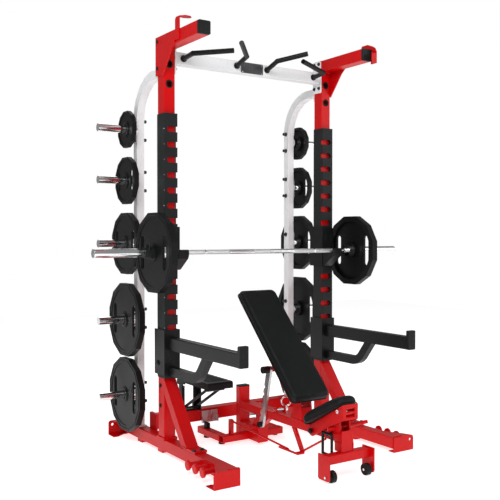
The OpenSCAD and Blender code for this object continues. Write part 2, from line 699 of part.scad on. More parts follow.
module bench_feet() {
    for (x = [-200, 200]) {
        for (y = [8, 190]) translate([x, y, 0]) cylinder(r = 20, h = 16);
        // catch blocks that stop against the docking plates
        translate([x - 14, cross_y - 40, 60]) cube([28, 30, 34]);
    }
    translate([0, 75, 0]) cylinder(r = 18, h = 15);
    translate([0, 75, 327]) linear_extrude(8) round_rect(76, 50, 6);
}

// Foot pedal under the bench with the rods that free the rear catch
module release_linkage() {
    rod_x = -70;
    side_plate(-38, 16) polygon([[-530, spine_z], [-500, spine_z], [-578, 64], [-606, 64]]);
    for (seg = [[[-152, -41, 142], [rod_x, -512, 66]], [[-30, -607, 74], [-30, -800, spine_z - 5]]]) {
        d = seg[1] - seg[0];
        len = norm(d);
        translate(seg[0]) rotate([0, acos(d[2] / len), atan2(d[1], d[0])]) cylinder(r = 6, h = len, $fn = 24);
    }
    translate([rod_x - 12, -614, 56]) cube([50, 30, 10]);
    translate([rod_x - 12, -530, 56]) cube([14, 100, 10]);
    translate([rod_x - 12, -614, 56]) cube([14, 184, 8]);
}

module bench_pins() {
    // backrest hinge pin, seat pivot pin and wheel axles, each with its heads
    translate([-46, back_pivot[0], back_pivot[1]]) rotate([0, 90, 0]) cylinder(r = 8, h = 92);
    for (x = [-seat_in - 18, seat_in + 10]) translate([x, seat_pivot[0], seat_pivot[1]]) rotate([0, 90, 0]) cylinder(r = 11, h = 8);
    translate([-seat_in - 12, seat_pivot[0], seat_pivot[1]]) rotate([0, 90, 0]) cylinder(r = 7, h = 2 * seat_in + 24);
    for (s = [-1, 1]) translate([s * 133 - 33, wheel_y, wheel_r]) rotate([0, 90, 0]) cylinder(r = 6.4, h = 66);
}

// Everything on the backrest is drawn along +Y with the hinge at the origin, then tilted
module on_backrest() {
    translate([0, back_pivot[0], back_pivot[1]]) rotate([back_angle, 0, 0]) children();
}

module backrest_frame() {
    under = back_offset - back_t - 12;
    on_backrest() {
        difference() {
            union() {
                translate([0, -12, 14]) tube_y(40, 28, 620, 3, 4);
                for (x = [-26.5, 16.5]) side_plate(x, 10) {
                    circle(r = 18);
                    translate([-18, 0]) square([60, under - 1]);
                }
                // hanger of the toothed strut
                for (x = [-30, 20]) side_plate(x, 10) {
                    polygon([[ladder_pivot[0] - 60, 20], [ladder_pivot[0] - 16, ladder_pivot[1]],
                        [ladder_pivot[0] + 16, ladder_pivot[1]], [ladder_pivot[0] + 60, 20]]);
                    translate(ladder_pivot) circle(r = 16);
                }
            }
            translate([-40, 0, 0]) rotate([0, 90, 0]) cylinder(r = 8 + pin_play, h = 80);
            translate([-40, ladder_pivot[0], ladder_pivot[1]]) rotate([0, 90, 0]) cylinder(r = 7 + pin_play, h = 80);
        }
        // backing board
        translate([0, back_len / 2 + back_low, under - 4]) linear_extrude(16) round_rect(back_w - 30, back_len - 30, 20);
    }
}

module backrest_pad() {
    on_backrest() translate([0, back_len / 2 + back_low, back_offset - back_t])
        linear_extrude(back_t) round_rect(back_w, back_len, 24);
}

// Toothed strut on the left of the main tube
module ladder_strut() {
    bar_w = 40;
    bar_t = 16;
    x = -spine_w / 2 - 6 - bar_t;
    on_backrest() translate([0, ladder_pivot[0], ladder_pivot[1]]) rotate([ladder_swing, 0, 0]) {
        difference() {
            side_plate(x, bar_t) {
                circle(r = bar_w / 2);
                translate([0, -bar_w / 2]) square([ladder_len, bar_w]);
                translate([ladder_len, 0]) circle(r = bar_w / 2);
            }
            for (i = [0:4]) translate([x - 1, 118 + i * 46, bar_w / 2]) rotate([0, 90, 0]) cylinder(r = 10, h = bar_t + 2);
            translate([x - 1, 70, 0]) rotate([0, 90, 0]) cylinder(r = 7, h = bar_t + 2);
        }
        translate([x, 0, 0]) rotate([0, 90, 0]) cylinder(r = 7, h = -x + 40);
    }
}

// Round knobs on the strut's upper pivot and lower end
module ladder_knobs() {
    x = -spine_w / 2 - 22;
    on_backrest() translate([0, ladder_pivot[0], ladder_pivot[1]]) rotate([ladder_swing, 0, 0]) {
        translate([x - 44, 0, 0]) rotate([0, 90, 0]) cylinder(r = 21, h = 44);
        translate([x - 18, ladder_len, 0]) rotate([0, 90, 0]) cylinder(r = 16, h = 18);
    }
}

module ladder_pin() {
    end = spine_w / 2 + gap;
    translate([-end - 4, pin_lug_y, pin_lug_z]) rotate([0, 90, 0]) cylinder(r = 8, h = 2 * end + 8);
    translate([end, pin_lug_y, pin_lug_z]) rotate([0, 90, 0]) cylinder(r = 12, h = 14);
    // pull ring standing on the head
    translate([end + 7, pin_lug_y, pin_lug_z + 11]) cylinder(r = 5, h = 8);
    translate([end + 7, pin_lug_y, pin_lug_z + 45]) rotate([0, 0, 62]) rotate([0, 90, 0])
        rotate_extrude() translate([28, 0]) circle(r = 4);
}

module on_seat() {
    translate([0, seat_pivot[0], seat_pivot[1]]) rotate([-seat_angle, 0, 0]) children();
}

// The seat is drawn along Y from its pivot, then tilted up at the front
module seat_carriage() {
    on_seat() {
        for (x = [-seat_in - 8, seat_in]) side_plate(x, 8) difference() {
            union() {
                translate([seat_tail, -16]) circle(r = 29);
                polygon([[-49, seat_base - 1], [seat_tail, seat_base - 1], [seat_tail, -45], [120, -46], [-9, -56]]);
            }
            circle(r = 7 + pin_play);
            translate([seat_tail, -16]) circle(r = 8);
        }
        // slotted front wall and the tray under the pad
        difference() {
            side_plate(-seat_in - 1, 2 * seat_in + 2) polygon([[-49, seat_base - 1], [-9, -56], [-3, -51], [-42, seat_base - 1]]);
            for (k = [0.3, 0.66]) translate([-30, -49 + 40 * k, 13 - 69 * k]) rotate([60, 0, 0]) translate([0, -8, -12]) cube([60, 14, 24]);
        }
        difference() {
            translate([-seat_in - 8, -50, seat_base - 1.4]) cube([2 * seat_in + 16, seat_back + 40, 4.4]);
            for (x = [-spine_w / 2 - 0.5, spine_w / 2 - 10.5]) translate([x, -14, seat_base - 2]) cube([11, 28, 2]);
        }
    }
}

// Pad outline: wide at the back, narrow and round at the nose
module seat_outline() {
    nose = seat_back - seat_len;
    hull() {
        for (s = [-1, 1]) {
            translate([s * 102, seat_back - 30]) circle(r = 30, $fn = 32);
            translate([s * 34, nose + 26]) circle(r = 26, $fn = 32);
        }
    }
}

module seat_pad() {
    on_seat() translate([0, 0, seat_base + 3]) linear_extrude(seat_t) seat_outline();
}

module seat_handle() {
    r = 7.5;
    w = 76;
    h = 112;
    translate([-spine_w / 2 - 28, -857, 228]) {
        for (y = [-w / 2, w / 2]) translate([0, y, -h]) cylinder(r = r, h = h);
        for (z = [-h, 0]) translate([0, -w / 2, z]) rotate([-90, 0, 0]) cylinder(r = r, h = w);
        for (y = [-w / 2, w / 2], z = [-h, 0]) translate([0, y, z]) sphere(r = r);
        translate([-1, 0, -6]) rotate([0, 90, 0]) cylinder(r = 9, h = 29);
    }
}

module wheel() {
    translate([-wheel_x - wheel_t / 2, wheel_y, wheel_r]) rotate([0, 90, 0]) difference() {
        union() {
            cylinder(r = wheel_r, h = wheel_t, $fn = 72);
        }
        for (z = [-1, wheel_t - 4]) translate([0, 0, z]) difference() {
            cylinder(r = wheel_r - 9, h = 5);
            translate([0, 0, -1]) cylinder(r = 13, h = 7);
        }
        translate([0, 0, -1]) cylinder(r = 6.45, h = wheel_t + 2);
    }
}

// ---------------------------------------------------------------- nodes
red = "#c4161c";
black = "#1b1c1e";
white = "#e9eaea";
steel = "#b9bcc0";

place() color(red) base_rail(false);  // left_base_rail
place() color(red) to_right() base_rail(true);  // right_base_rail
place() color(red) rear_crossmember();
place() color(steel) dock_plates();
place() color(red) upright();  // left_upright
place() color(red) to_right() upright();  // right_upright
place() color(black) wear_sleeve();  // left_wear_sleeve
place() color(black) to_right() wear_sleeve();  // right_wear_sleeve
place() color(red) brace();  // left_brace
place() color(red) to_right() brace();  // right_brace
place() color(red) top_arm();  // left_top_arm
place() color(red) to_right() top_arm();  // right_top_arm
place() color(black) arm_end_caps();
place() color(red) rope_hangers();
place() color(white) top_crossmember();
place() color(black) name_plate();
place() color(black) pull_up_grips();
place() color(white) storage_post();  // left_storage_post
place() color(white) to_right() storage_post();  // right_storage_post
place() color(steel) plate_horns();
place() color(steel) frame_fasteners();
place() color(black) step_bracket();
place() color(black) step_platform();
place() color(black) step_strut();
place() color(black) bar_hook();  // left_bar_hook
place() color(black) to_right() bar_hook();  // right_bar_hook
place() color(black) safety_arm();  // left_safety_arm
place() color(black) to_right() safety_arm();  // right_safety_arm
place() color(steel) bar_shaft();
place() color(steel) bar_sleeve();  // left_bar_sleeve
place() color(steel) to_right() bar_sleeve();  // right_bar_sleeve
place() color(black) bar_plate();  // left_bar_plate
place() color(black) to_right() bar_plate();  // right_bar_plate
place() color(black) bar_collar();  // left_bar_collar
place() color(black) to_right() bar_collar();  // right_bar_collar
for (i = [1:5]) {
    place() color(black) stored_plate(i - 1);
    place() color(black) to_right() stored_plate(i - 1);
}
place() color(red) bench_frame();
place() color(red) bench_front_foot();
place() color(black) bench_feet();
place() color(red) release_linkage();
place() color(steel) bench_pins();
place() color(red) backrest_frame();
place() color(black) backrest_pad();
place() color(steel) ladder_strut();
place() color(black) ladder_knobs();
place() color(steel) ladder_pin();
place() color(red) seat_carriage();
place() color(black) seat_pad();
place() color(black) seat_handle();
place() color(black) wheel();  // left_wheel
place() color(black) to_right() wheel();  // right_wheel
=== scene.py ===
import math

import bmesh
import bpy
import numpy as np
from bpy.props import FloatProperty, FloatVectorProperty, IntProperty, PointerProperty
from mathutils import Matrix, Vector


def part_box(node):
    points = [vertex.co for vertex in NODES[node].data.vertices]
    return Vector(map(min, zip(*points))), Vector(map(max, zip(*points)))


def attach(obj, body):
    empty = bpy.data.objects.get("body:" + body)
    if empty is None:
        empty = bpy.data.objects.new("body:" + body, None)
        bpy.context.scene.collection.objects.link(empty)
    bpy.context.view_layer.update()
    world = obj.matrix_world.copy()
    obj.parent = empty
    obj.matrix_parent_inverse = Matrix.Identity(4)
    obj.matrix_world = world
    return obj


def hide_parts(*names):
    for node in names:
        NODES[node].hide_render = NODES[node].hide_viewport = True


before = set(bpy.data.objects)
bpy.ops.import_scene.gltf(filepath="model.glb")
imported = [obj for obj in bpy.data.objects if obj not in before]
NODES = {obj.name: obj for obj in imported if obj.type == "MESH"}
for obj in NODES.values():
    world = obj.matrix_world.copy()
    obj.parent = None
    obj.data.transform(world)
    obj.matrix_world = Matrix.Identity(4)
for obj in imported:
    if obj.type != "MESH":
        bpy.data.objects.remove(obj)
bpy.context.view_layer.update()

bl_info = {
    "name": "Half rack station finish",
    "version": (1, 0, 0),
    "blender": (4, 5, 0),
    "location": "View3D > Sidebar > Rack",
    "description": "Finishes, pads and fittings for a half rack with bench, bar and stored plates",
    "category": "Add Mesh",
}

MM = 0.001
SHIFT_Y = 0.196  # the layout's Y zero, the uprights' centre line, in the frame

# Sizes of the layout, in millimetres.
HALF_SPAN, HALF_TUBE = 584, 38  # an upright's centre line, and half its width
OUTER, INNER = HALF_SPAN + HALF_TUBE, HALF_SPAN - HALF_TUBE
BAR_Y, BAR_Z, BAR_END = -142, 1192, 1100  # the bar's axis in its hooks, and its end
COLLAR_X = 780
POST_Y = 374  # centre line of the storage posts
HORN_Z = (1948, 1630, 1240, 766, 300)  # storage horns, from the top down
MARK_X, MARK_DEPTH = 626.6, 0.7  # tick marks, nearly flush with the wear sleeve's face
MARK_TOP, MARK_PITCH, MARK_COUNT = 1908, 89, 14
WHEEL_X, WHEEL_Y, WHEEL_Z = 120, -960, 32
EYE, EYE_PITCH, EYE_YAW = (-2684.6, -4063.7, 1283.1), 89.0, -33.5


def at(x, y, z):
    """A point of the layout, in millimetres, as metres in the frame."""
    return np.array([x * MM, y * MM + SHIFT_Y, z * MM])


def pts(rows):
    """A list of layout points in millimetres as an array of metres in the frame."""
    return np.asarray(rows, float) * MM + np.array([0, SHIFT_Y, 0])


# ------------------------------------------------------------------ mesh code
def grid_faces(rows, cols, wrap_rows=False, wrap_cols=False):
    """Quads of a grid of rows x cols points: point (i, j) joins (i+1, j), (i+1, j+1) and (i, j+1)."""
    i = np.arange(rows if wrap_rows else rows - 1)
    j = np.arange(cols if wrap_cols else cols - 1)
    a, b = np.meshgrid(i, j, indexing="ij")
    a2, b2 = (a + 1) % rows, (b + 1) % cols
    quads = np.stack([a * cols + b, a * cols + b2, a2 * cols + b2, a2 * cols + b], -1)
    return quads.reshape(-1, 4).tolist()


def capped(points, rows, cols, faces):
    """Closes both ends of a tube grid with one fan centre each: the centre is the mean of the end ring."""
    first, last = points[:cols].mean(0), points[-cols:].mean(0)
    n = len(points)
    ring = np.arange(cols)
    nxt = (ring + 1) % cols
    low = np.stack([np.full(cols, n), nxt, ring], -1)
    base = (rows - 1) * cols
    high = np.stack([np.full(cols, n + 1), base + ring, base + nxt], -1)
    return np.vstack([points, first, last]), faces + low.tolist() + high.tolist()


def lathe(profile, origin, axis, segments=48, close=True):
    """Surface of revolution: point (u, v) is origin + axis * height(u) + radius(u) * (cos v, sin v)
    in the plane across the axis. profile is rows of (radius, height) in millimetres."""
    profile = np.asarray(profile, float) * MM
    axis = np.asarray(axis, float) / np.linalg.norm(axis)
    helper = np.array([0, 0, 1.0]) if abs(axis[2]) < 0.9 else np.array([1.0, 0, 0])
    e1 = np.cross(helper, axis)
    e1 /= np.linalg.norm(e1)
    e2 = np.cross(axis, e1)
    v = np.linspace(0, 2 * np.pi, segments, endpoint=False)
    ring = np.cos(v)[:, None] * e1 + np.sin(v)[:, None] * e2
    points = origin + profile[:, 1, None, None] * axis + profile[:, 0, None, None] * ring[None]
    rows, cols = len(profile), segments
    points = points.reshape(-1, 3)
    faces = grid_faces(rows, cols, wrap_rows=not close, wrap_cols=True)
    if close:
        points, faces = capped(points, rows, cols, faces)
    return points, faces


def sweep(path, radius, sides=12, up=(0, 0, 1), squash=1.0, closed=False):
    """Tube along a path: point (u, v) is path(u) + radius(u) * (cos v * side + squash * sin v * top),
    where side and top are square to the path's tangent. The radius may change along the path."""
    path = np.asarray(path, float)
    if closed:
        tangent = np.roll(path, -1, 0) - np.roll(path, 1, 0)
    else:
        tangent = np.gradient(path, axis=0)
    tangent /= np.linalg.norm(tangent, axis=1)[:, None]
    side = np.cross(tangent, np.asarray(up, float))
    side /= np.linalg.norm(side, axis=1)[:, None] + 1e-12
    top = np.cross(side, tangent)
    radius = np.broadcast_to(np.asarray(radius, float), (len(path),))
    v = np.linspace(0, 2 * np.pi, sides, endpoint=False)
    points = path[:, None] + radius[:, None, None] * (
        np.cos(v)[None, :, None] * side[:, None] + squash * np.sin(v)[None, :, None] * top[:, None]
    )
    points = points.reshape(-1, 3)
    faces = grid_faces(len(path), sides, wrap_rows=closed, wrap_cols=True)
    if not closed:
        points, faces = capped(points, len(path), sides, faces)
    return points, faces


def rounded_box(low, high, radius, steps=3):
    """Superellipsoid-like box: a unit sphere grid (u latitude, v longitude) pushed out to the box's
    inner corners, so each point is corner(sign) + radius * direction."""
    low, high = np.asarray(low, float), np.asarray(high, float)
    u = np.concatenate([np.linspace(-90, -1e-3, steps + 1), np.linspace(1e-3, 90, steps + 1)])
    v = np.concatenate([np.linspace(q + 1e-3, q + 90 - 1e-3, steps + 1) for q in (0, 90, 180, 270)])
    u, v = np.radians(u), np.radians(v)
    d = np.stack(
        [
            np.cos(u)[:, None] * np.cos(v)[None],
            np.cos(u)[:, None] * np.sin(v)[None],
            np.repeat(np.sin(u)[:, None], len(v), 1),
        ],
        -1,
    )
    centre = np.where(
        np.stack([np.cos(v)[None] > 0, np.sin(v)[None] > 0], -1), high[:2] - radius, low[:2] + radius
    )
    centre = np.repeat(centre, len(u), 0)
    height = np.where(np.sin(u)[:, None] > 0, high[2] - radius, low[2] + radius)
    height = np.repeat(height, len(v), 1)[..., None]
    points = (np.concatenate([centre, height], -1) + radius * d).reshape(-1, 3)
    faces = grid_faces(len(u), len(v), wrap_cols=True)
    return capped(points, len(u), len(v), faces)


def moved(part, matrix=None, shift=(0, 0, 0)):
    """A part's points turned by a 3 x 3 matrix and then shifted."""
    points, faces = part
    if matrix is not None:
        points = points @ np.asarray(matrix).T
    return points + np.asarray(shift, float), faces


def joined(parts):
    """Several parts as one list of points and one list of faces."""
    points, faces, start = [], [], 0
    for p, f in parts:
        points.append(p)
        faces += [[i + start for i in face] for face in f]
        start += len(p)
    return np.vstack(points), faces


def build(name, parts, body, material, smooth=True, angle=40):
    """Makes one piece from parts, outward normals, and hands it to its body and material slot."""
    points, faces = joined(parts)
    mesh = bpy.data.meshes.new(name)
    mesh.from_pydata(points.tolist(), [], faces)
    mesh.update()
    bm = bmesh.new()
    bm.from_mesh(mesh)
    bmesh.ops.remove_doubles(bm, verts=bm.verts, dist=1e-6)
    bmesh.ops.recalc_face_normals(bm, faces=bm.faces)
    for e in bm.edges:
        e.smooth = len(e.link_faces) == 2 and e.calc_face_angle(0) < math.radians(angle)
    for f in bm.faces:
        f.smooth = smooth
    bm.to_mesh(mesh)
    bm.free()
    obj = bpy.data.objects.new(name, mesh)
    bpy.context.scene.collection.objects.link(obj)
    mesh.materials.append(material)
    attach(obj, body)
    return obj


# ------------------------------------------------------------------ node groups
def new_group(name, inputs, outputs):
    """An empty shader node group with its named sockets; inputs are (name, type, default)."""
    group = bpy.data.node_groups.new(name, "ShaderNodeTree")
    for label, kind, value in inputs:
        socket = group.interface.new_socket(label, in_out="INPUT", socket_type=kind)
        socket.default_value = value
    for label, kind in outputs:
        group.interface.new_socket(label, in_out="OUTPUT", socket_type=kind)
    return group, group.nodes.new("NodeGroupInput"), group.nodes.new("NodeGroupOutput")


def wire(tree, kind, links=(), **values):
    """Adds one node, sets its properties and socket defaults, and links its inputs."""
    node = tree.nodes.new(kind)
    for key, value in values.items():
        if key.startswith("in_"):
            label = key[3:].replace("_", " ")
            target = node.inputs[int(label)] if label.isdigit() else node.inputs[label]
            target.default_value = value
        else:
            setattr(node, key, value)
    for label, source in links:
        tree.links.new(source, node.inputs[label])
    return node


FLOAT, COLOR, VECTOR = "NodeSocketFloat", "NodeSocketColor", "NodeSocketVector"


def mottle_group():
    """Colour that drifts between two tones by two scales of noise: broad patches and fine specks."""
    g, i, o = new_group(
        "Tone drift",
        [
            ("Light", COLOR, (0.5, 0.5, 0.5, 1)), ("Dark", COLOR, (0.4, 0.4, 0.4, 1)),
            ("Patch scale", FLOAT, 3.0), ("Speck scale", FLOAT, 400.0), ("Speck share", FLOAT, 0.3)
        ],
        [("Color", COLOR), ("Mask", FLOAT)],
    )
    tc = wire(g, "ShaderNodeTexCoord")
    patch = wire(
        g, "ShaderNodeTexNoise", [("Vector", tc.outputs["Object"]), ("Scale", i.outputs["Patch scale"])],
        in_Detail=4.0
    )
    speck = wire(
        g, "ShaderNodeTexNoise", [("Vector", tc.outputs["Object"]), ("Scale", i.outputs["Speck scale"])],
        in_Detail=2.0
    )
    both = wire(
        g, "ShaderNodeMix", [(0, i.outputs["Speck share"]), (2, patch.outputs[0]), (3, speck.outputs[0])],
        data_type="FLOAT"
    )
    stretch = wire(g, "ShaderNodeMapRange", [("Value", both.outputs[0])], in_From_Min=0.36, in_From_Max=0.64)
    mix = wire(
        g, "ShaderNodeMix", [(0, stretch.outputs[0]), (6, i.outputs["Dark"]), (7, i.outputs["Light"])],
        data_type="RGBA"
    )
    g.links.new(mix.outputs[2], o.inputs["Color"])
    g.links.new(stretch.outputs[0], o.inputs["Mask"])
    return g


def peel_group():
    """Height of a sprayed coat: soft orange-peel noise plus a little grain of powder."""
    g, i, o = new_group(
        "Coat texture",
        [("Peel scale", FLOAT, 260.0), ("Grain scale", FLOAT, 1500.0), ("Grain share", FLOAT, 0.35)],
        [("Height", FLOAT)]
    )
    tc = wire(g, "ShaderNodeTexCoord")
    peel = wire(
        g, "ShaderNodeTexNoise", [("Vector", tc.outputs["Object"]), ("Scale", i.outputs["Peel scale"])],
        in_Detail=1.0
    )
    grain = wire(
        g, "ShaderNodeTexNoise", [("Vector", tc.outputs["Object"]), ("Scale", i.outputs["Grain scale"])],
        in_Detail=1.0
    )
    mix = wire(
        g, "ShaderNodeMix", [(0, i.outputs["Grain share"]), (2, peel.outputs[0]), (3, grain.outputs[0])],
        data_type="FLOAT"
    )
    g.links.new(mix.outputs[0], o.inputs["Height"])
    return g


def scuff_group():
    """Mask of fine scratches: noise stretched along one direction, kept only above a threshold."""
    g, i, o = new_group(
        "Scuffs", [("Stretch", VECTOR, (6, 90, 90)), ("Threshold", FLOAT, 0.62), ("Softness", FLOAT, 0.05)],
        [("Mask", FLOAT)]
    )
    tc = wire(g, "ShaderNodeTexCoord")
    scaled = wire(
        g, "ShaderNodeVectorMath", [(0, tc.outputs["Object"]), (1, i.outputs["Stretch"])],
        operation="MULTIPLY"
    )
    noise = wire(g, "ShaderNodeTexNoise", [("Vector", scaled.outputs[0])], in_Scale=3.0, in_Detail=5.0)
    top = wire(
        g, "ShaderNodeMath", [(0, i.outputs["Threshold"]), (1, i.outputs["Softness"])], operation="ADD"
    )
    ramp = wire(
        g, "ShaderNodeMapRange",
        [("Value", noise.outputs[0]), ("From Min", i.outputs["Threshold"]), ("From Max", top.outputs[0])]
    )
    g.links.new(ramp.outputs[0], o.inputs["Mask"])
    return g


def grain_group():
    """Leather-like height: cells of a Voronoi pattern with rounded creases, broken up by noise."""
    g, i, o = new_group(
        "Hide grain", [("Cell scale", FLOAT, 420.0), ("Crease", FLOAT, 0.35)],
        [("Height", FLOAT), ("Crease mask", FLOAT)]
    )
    tc = wire(g, "ShaderNodeTexCoord")
    warp = wire(g, "ShaderNodeTexNoise", [("Vector", tc.outputs["Object"])], in_Scale=120.0, in_Detail=2.0)
    add = wire(g, "ShaderNodeVectorMath", [(0, warp.outputs[1])], operation="SCALE", in_Scale=0.004)
    moved_to = wire(
        g, "ShaderNodeVectorMath", [(0, tc.outputs["Object"]), (1, add.outputs[0])], operation="ADD"
    )
    cells = wire(
        g, "ShaderNodeTexVoronoi", [("Vector", moved_to.outputs[0]), ("Scale", i.outputs["Cell scale"])],
        feature="DISTANCE_TO_EDGE"
    )
    crease = wire(
        g, "ShaderNodeMapRange", [("Value", cells.outputs[0]), ("From Max", i.outputs["Crease"])],
        interpolation_type="SMOOTHSTEP"
    )
    g.links.new(crease.outputs[0], o.inputs["Height"])
    g.links.new(crease.outputs[0], o.inputs["Crease mask"])
    return g


GROUPS = {}


def group(tree, key, **values):
    """Places one of the shared groups in a material, with its own input values."""
    makers = {"tone": mottle_group, "peel": peel_group, "scuff": scuff_group, "grain": grain_group}
    if key not in GROUPS:
        GROUPS[key] = makers[key]()
    node = tree.nodes.new("ShaderNodeGroup")
    node.node_tree = GROUPS[key]
    for label, value in values.items():
        node.inputs[label.replace("_", " ")].default_value = value
    return node


def shaded(name, roughness=0.5, metallic=0.0, coat=0.0, coat_roughness=0.1, specular=0.5):
    """A material with a Principled shader; returns it with its tree and shader."""
    mat = bpy.data.materials.new(name)
    mat.use_nodes = True
    bsdf = mat.node_tree.nodes["Principled BSDF"]
    bsdf.inputs["Roughness"].default_value = roughness
    bsdf.inputs["Metallic"].default_value = metallic
    bsdf.inputs["Coat Weight"].default_value = coat
    bsdf.inputs["Coat Roughness"].default_value = coat_roughness
    bsdf.inputs["Specular IOR Level"].default_value = specular
    return mat, mat.node_tree, bsdf


def bumped(tree, bsdf, height, distance, strength=1.0):
    bump = wire(tree, "ShaderNodeBump", [("Height", height)], in_Distance=distance, in_Strength=strength)
    tree.links.new(bump.outputs[0], bsdf.inputs["Normal"])


def rgba(rgb):
    return (rgb[0], rgb[1], rgb[2], 1.0)


def coated(
    name, light, dark, roughness, spread, coat=0.0, peel=260.0, height=0.00012, scuff=0.6, scuff_tone=None,
    specular=0.5
):
    """Powder coat: drifting tone, orange peel, and faint scuffs that dull the gloss."""
    mat, tree, bsdf = shaded(name, roughness, coat=coat, specular=specular)
    tone = group(
        tree, "tone", Light=rgba(light), Dark=rgba(dark), Patch_scale=2.6, Speck_scale=900.0, Speck_share=0.25
    )
    marks = group(tree, "scuff", Stretch=(40, 40, 7), Threshold=scuff, Softness=0.06)
    rough = wire(
        tree, "ShaderNodeMapRange", [("Value", marks.outputs["Mask"])], in_To_Min=roughness,
        in_To_Max=roughness + spread
    )
    tree.links.new(rough.outputs[0], bsdf.inputs["Roughness"])
    source = tone.outputs["Color"]
    if scuff_tone is not None:
        part = wire(tree, "ShaderNodeMath", [(0, marks.outputs["Mask"])], operation="MULTIPLY", in_1=0.35)
        mix = wire(tree, "ShaderNodeMix", [(0, part.outputs[0]), (6, source)], data_type="RGBA")
        mix.inputs[7].default_value = rgba(scuff_tone)
        source = mix.outputs[2]
    tree.links.new(source, bsdf.inputs["Base Color"])
    texture = group(tree, "peel", Peel_scale=peel)
    bumped(tree, bsdf, texture.outputs["Height"], height)
    return mat


def brushed(name, light, dark, roughness, stretch, metallic=1.0, scuff=0.56):
    """Metal with a drawn grain: noise stretched along the drawing direction moves colour and roughness."""
    mat, tree, bsdf = shaded(name, roughness, metallic=metallic)
    tone = group(
        tree, "tone", Light=rgba(light), Dark=rgba(dark), Patch_scale=9.0, Speck_scale=500.0, Speck_share=0.3
    )
    lines = group(tree, "scuff", Stretch=stretch, Threshold=scuff - 0.12, Softness=0.24)
    tree.links.new(tone.outputs["Color"], bsdf.inputs["Base Color"])
    rough = wire(
        tree, "ShaderNodeMapRange", [("Value", lines.outputs["Mask"])], in_To_Min=roughness * 0.75,
        in_To_Max=roughness * 1.35
    )
    tree.links.new(rough.outputs[0], bsdf.inputs["Roughness"])
    bumped(tree, bsdf, lines.outputs["Mask"], 0.00003)
    return mat


def rubbery(name, light, dark, roughness, scale=700.0, height=0.00015):
    """Rubber or moulded plastic: low contrast tone drift and a fine pebbled skin."""
    mat, tree, bsdf = shaded(name, roughness, specular=0.18)
    tone = group(
        tree, "tone", Light=rgba(light), Dark=rgba(dark), Patch_scale=6.0, Speck_scale=1300.0, Speck_share=0.5
    )
    tree.links.new(tone.outputs["Color"], bsdf.inputs["Base Color"])
    rough = wire(
        tree, "ShaderNodeMapRange", [("Value", tone.outputs["Mask"])], in_To_Min=roughness - 0.06,
        in_To_Max=roughness + 0.08
    )
    tree.links.new(rough.outputs[0], bsdf.inputs["Roughness"])
    skin = group(tree, "peel", Peel_scale=scale, Grain_scale=2200.0, Grain_share=0.4)
    bumped(tree, bsdf, skin.outputs["Height"], height)
    return mat


def knurled(name, light, dark, roughness, centre, bands, pitch):
    """Chromed bar with crossed helical knurling. With x along the bar and a the angle round its axis,
    the height is the higher of two saw waves of x/pitch + n*a and x/pitch - n*a, inside the stated bands."""
    mat, tree, bsdf = shaded(name, roughness, metallic=1.0)
    tone = group(
        tree, "tone", Light=rgba(light), Dark=rgba(dark), Patch_scale=7.0, Speck_scale=600.0, Speck_share=0.3
    )
    tree.links.new(tone.outputs["Color"], bsdf.inputs["Base Color"])
    tc = wire(tree, "ShaderNodeTexCoord")
    shift = wire(tree, "ShaderNodeVectorMath", [(0, tc.outputs["Object"])], operation="SUBTRACT")
    shift.inputs[1].default_value = tuple(float(c) for c in centre)
    axes = wire(tree, "ShaderNodeSeparateXYZ", [(0, shift.outputs[0])])
    angle = wire(
        tree, "ShaderNodeMath", [(0, axes.outputs["Y"]), (1, axes.outputs["Z"])], operation="ARCTAN2"
    )
    turns = wire(
        tree, "ShaderNodeMath", [(0, angle.outputs[0])], operation="MULTIPLY", in_1=24 / (2 * math.pi)
    )
    along = wire(tree, "ShaderNodeMath", [(0, axes.outputs["X"])], operation="MULTIPLY", in_1=1 / pitch)
    heights = []
    for how in ("ADD", "SUBTRACT"):
        phase = wire(tree, "ShaderNodeMath", [(0, along.outputs[0]), (1, turns.outputs[0])], operation=how)
        heights.append(wire(tree, "ShaderNodeMath", [(0, phase.outputs[0])], operation="PINGPONG", in_1=0.5))
    low = wire(
        tree, "ShaderNodeMath", [(0, heights[0].outputs[0]), (1, heights[1].outputs[0])], operation="MINIMUM"
    )
    size = wire(tree, "ShaderNodeMath", [(0, axes.outputs["X"])], operation="ABSOLUTE")
    band = None
    for start, end in bands:
        a = wire(tree, "ShaderNodeMath", [(0, size.outputs[0])], operation="GREATER_THAN", in_1=start)
        b = wire(tree, "ShaderNodeMath", [(0, size.outputs[0])], operation="LESS_THAN", in_1=end)
        c = wire(tree, "ShaderNodeMath", [(0, a.outputs[0]), (1, b.outputs[0])], operation="MULTIPLY")
        band = c if band is None else wire(
            tree, "ShaderNodeMath", [(0, band.outputs[0]), (1, c.outputs[0])], operation="MAXIMUM"
        )
    height = wire(tree, "ShaderNodeMath", [(0, low.outputs[0]), (1, band.outputs[0])], operation="MULTIPLY")
    rough = wire(
        tree, "ShaderNodeMapRange", [("Value", band.outputs[0])], in_To_Min=roughness,
        in_To_Max=roughness + 0.22
    )
    tree.links.new(rough.outputs[0], bsdf.inputs["Roughness"])
    bumped(tree, bsdf, height.outputs[0], 0.0011)
    return mat


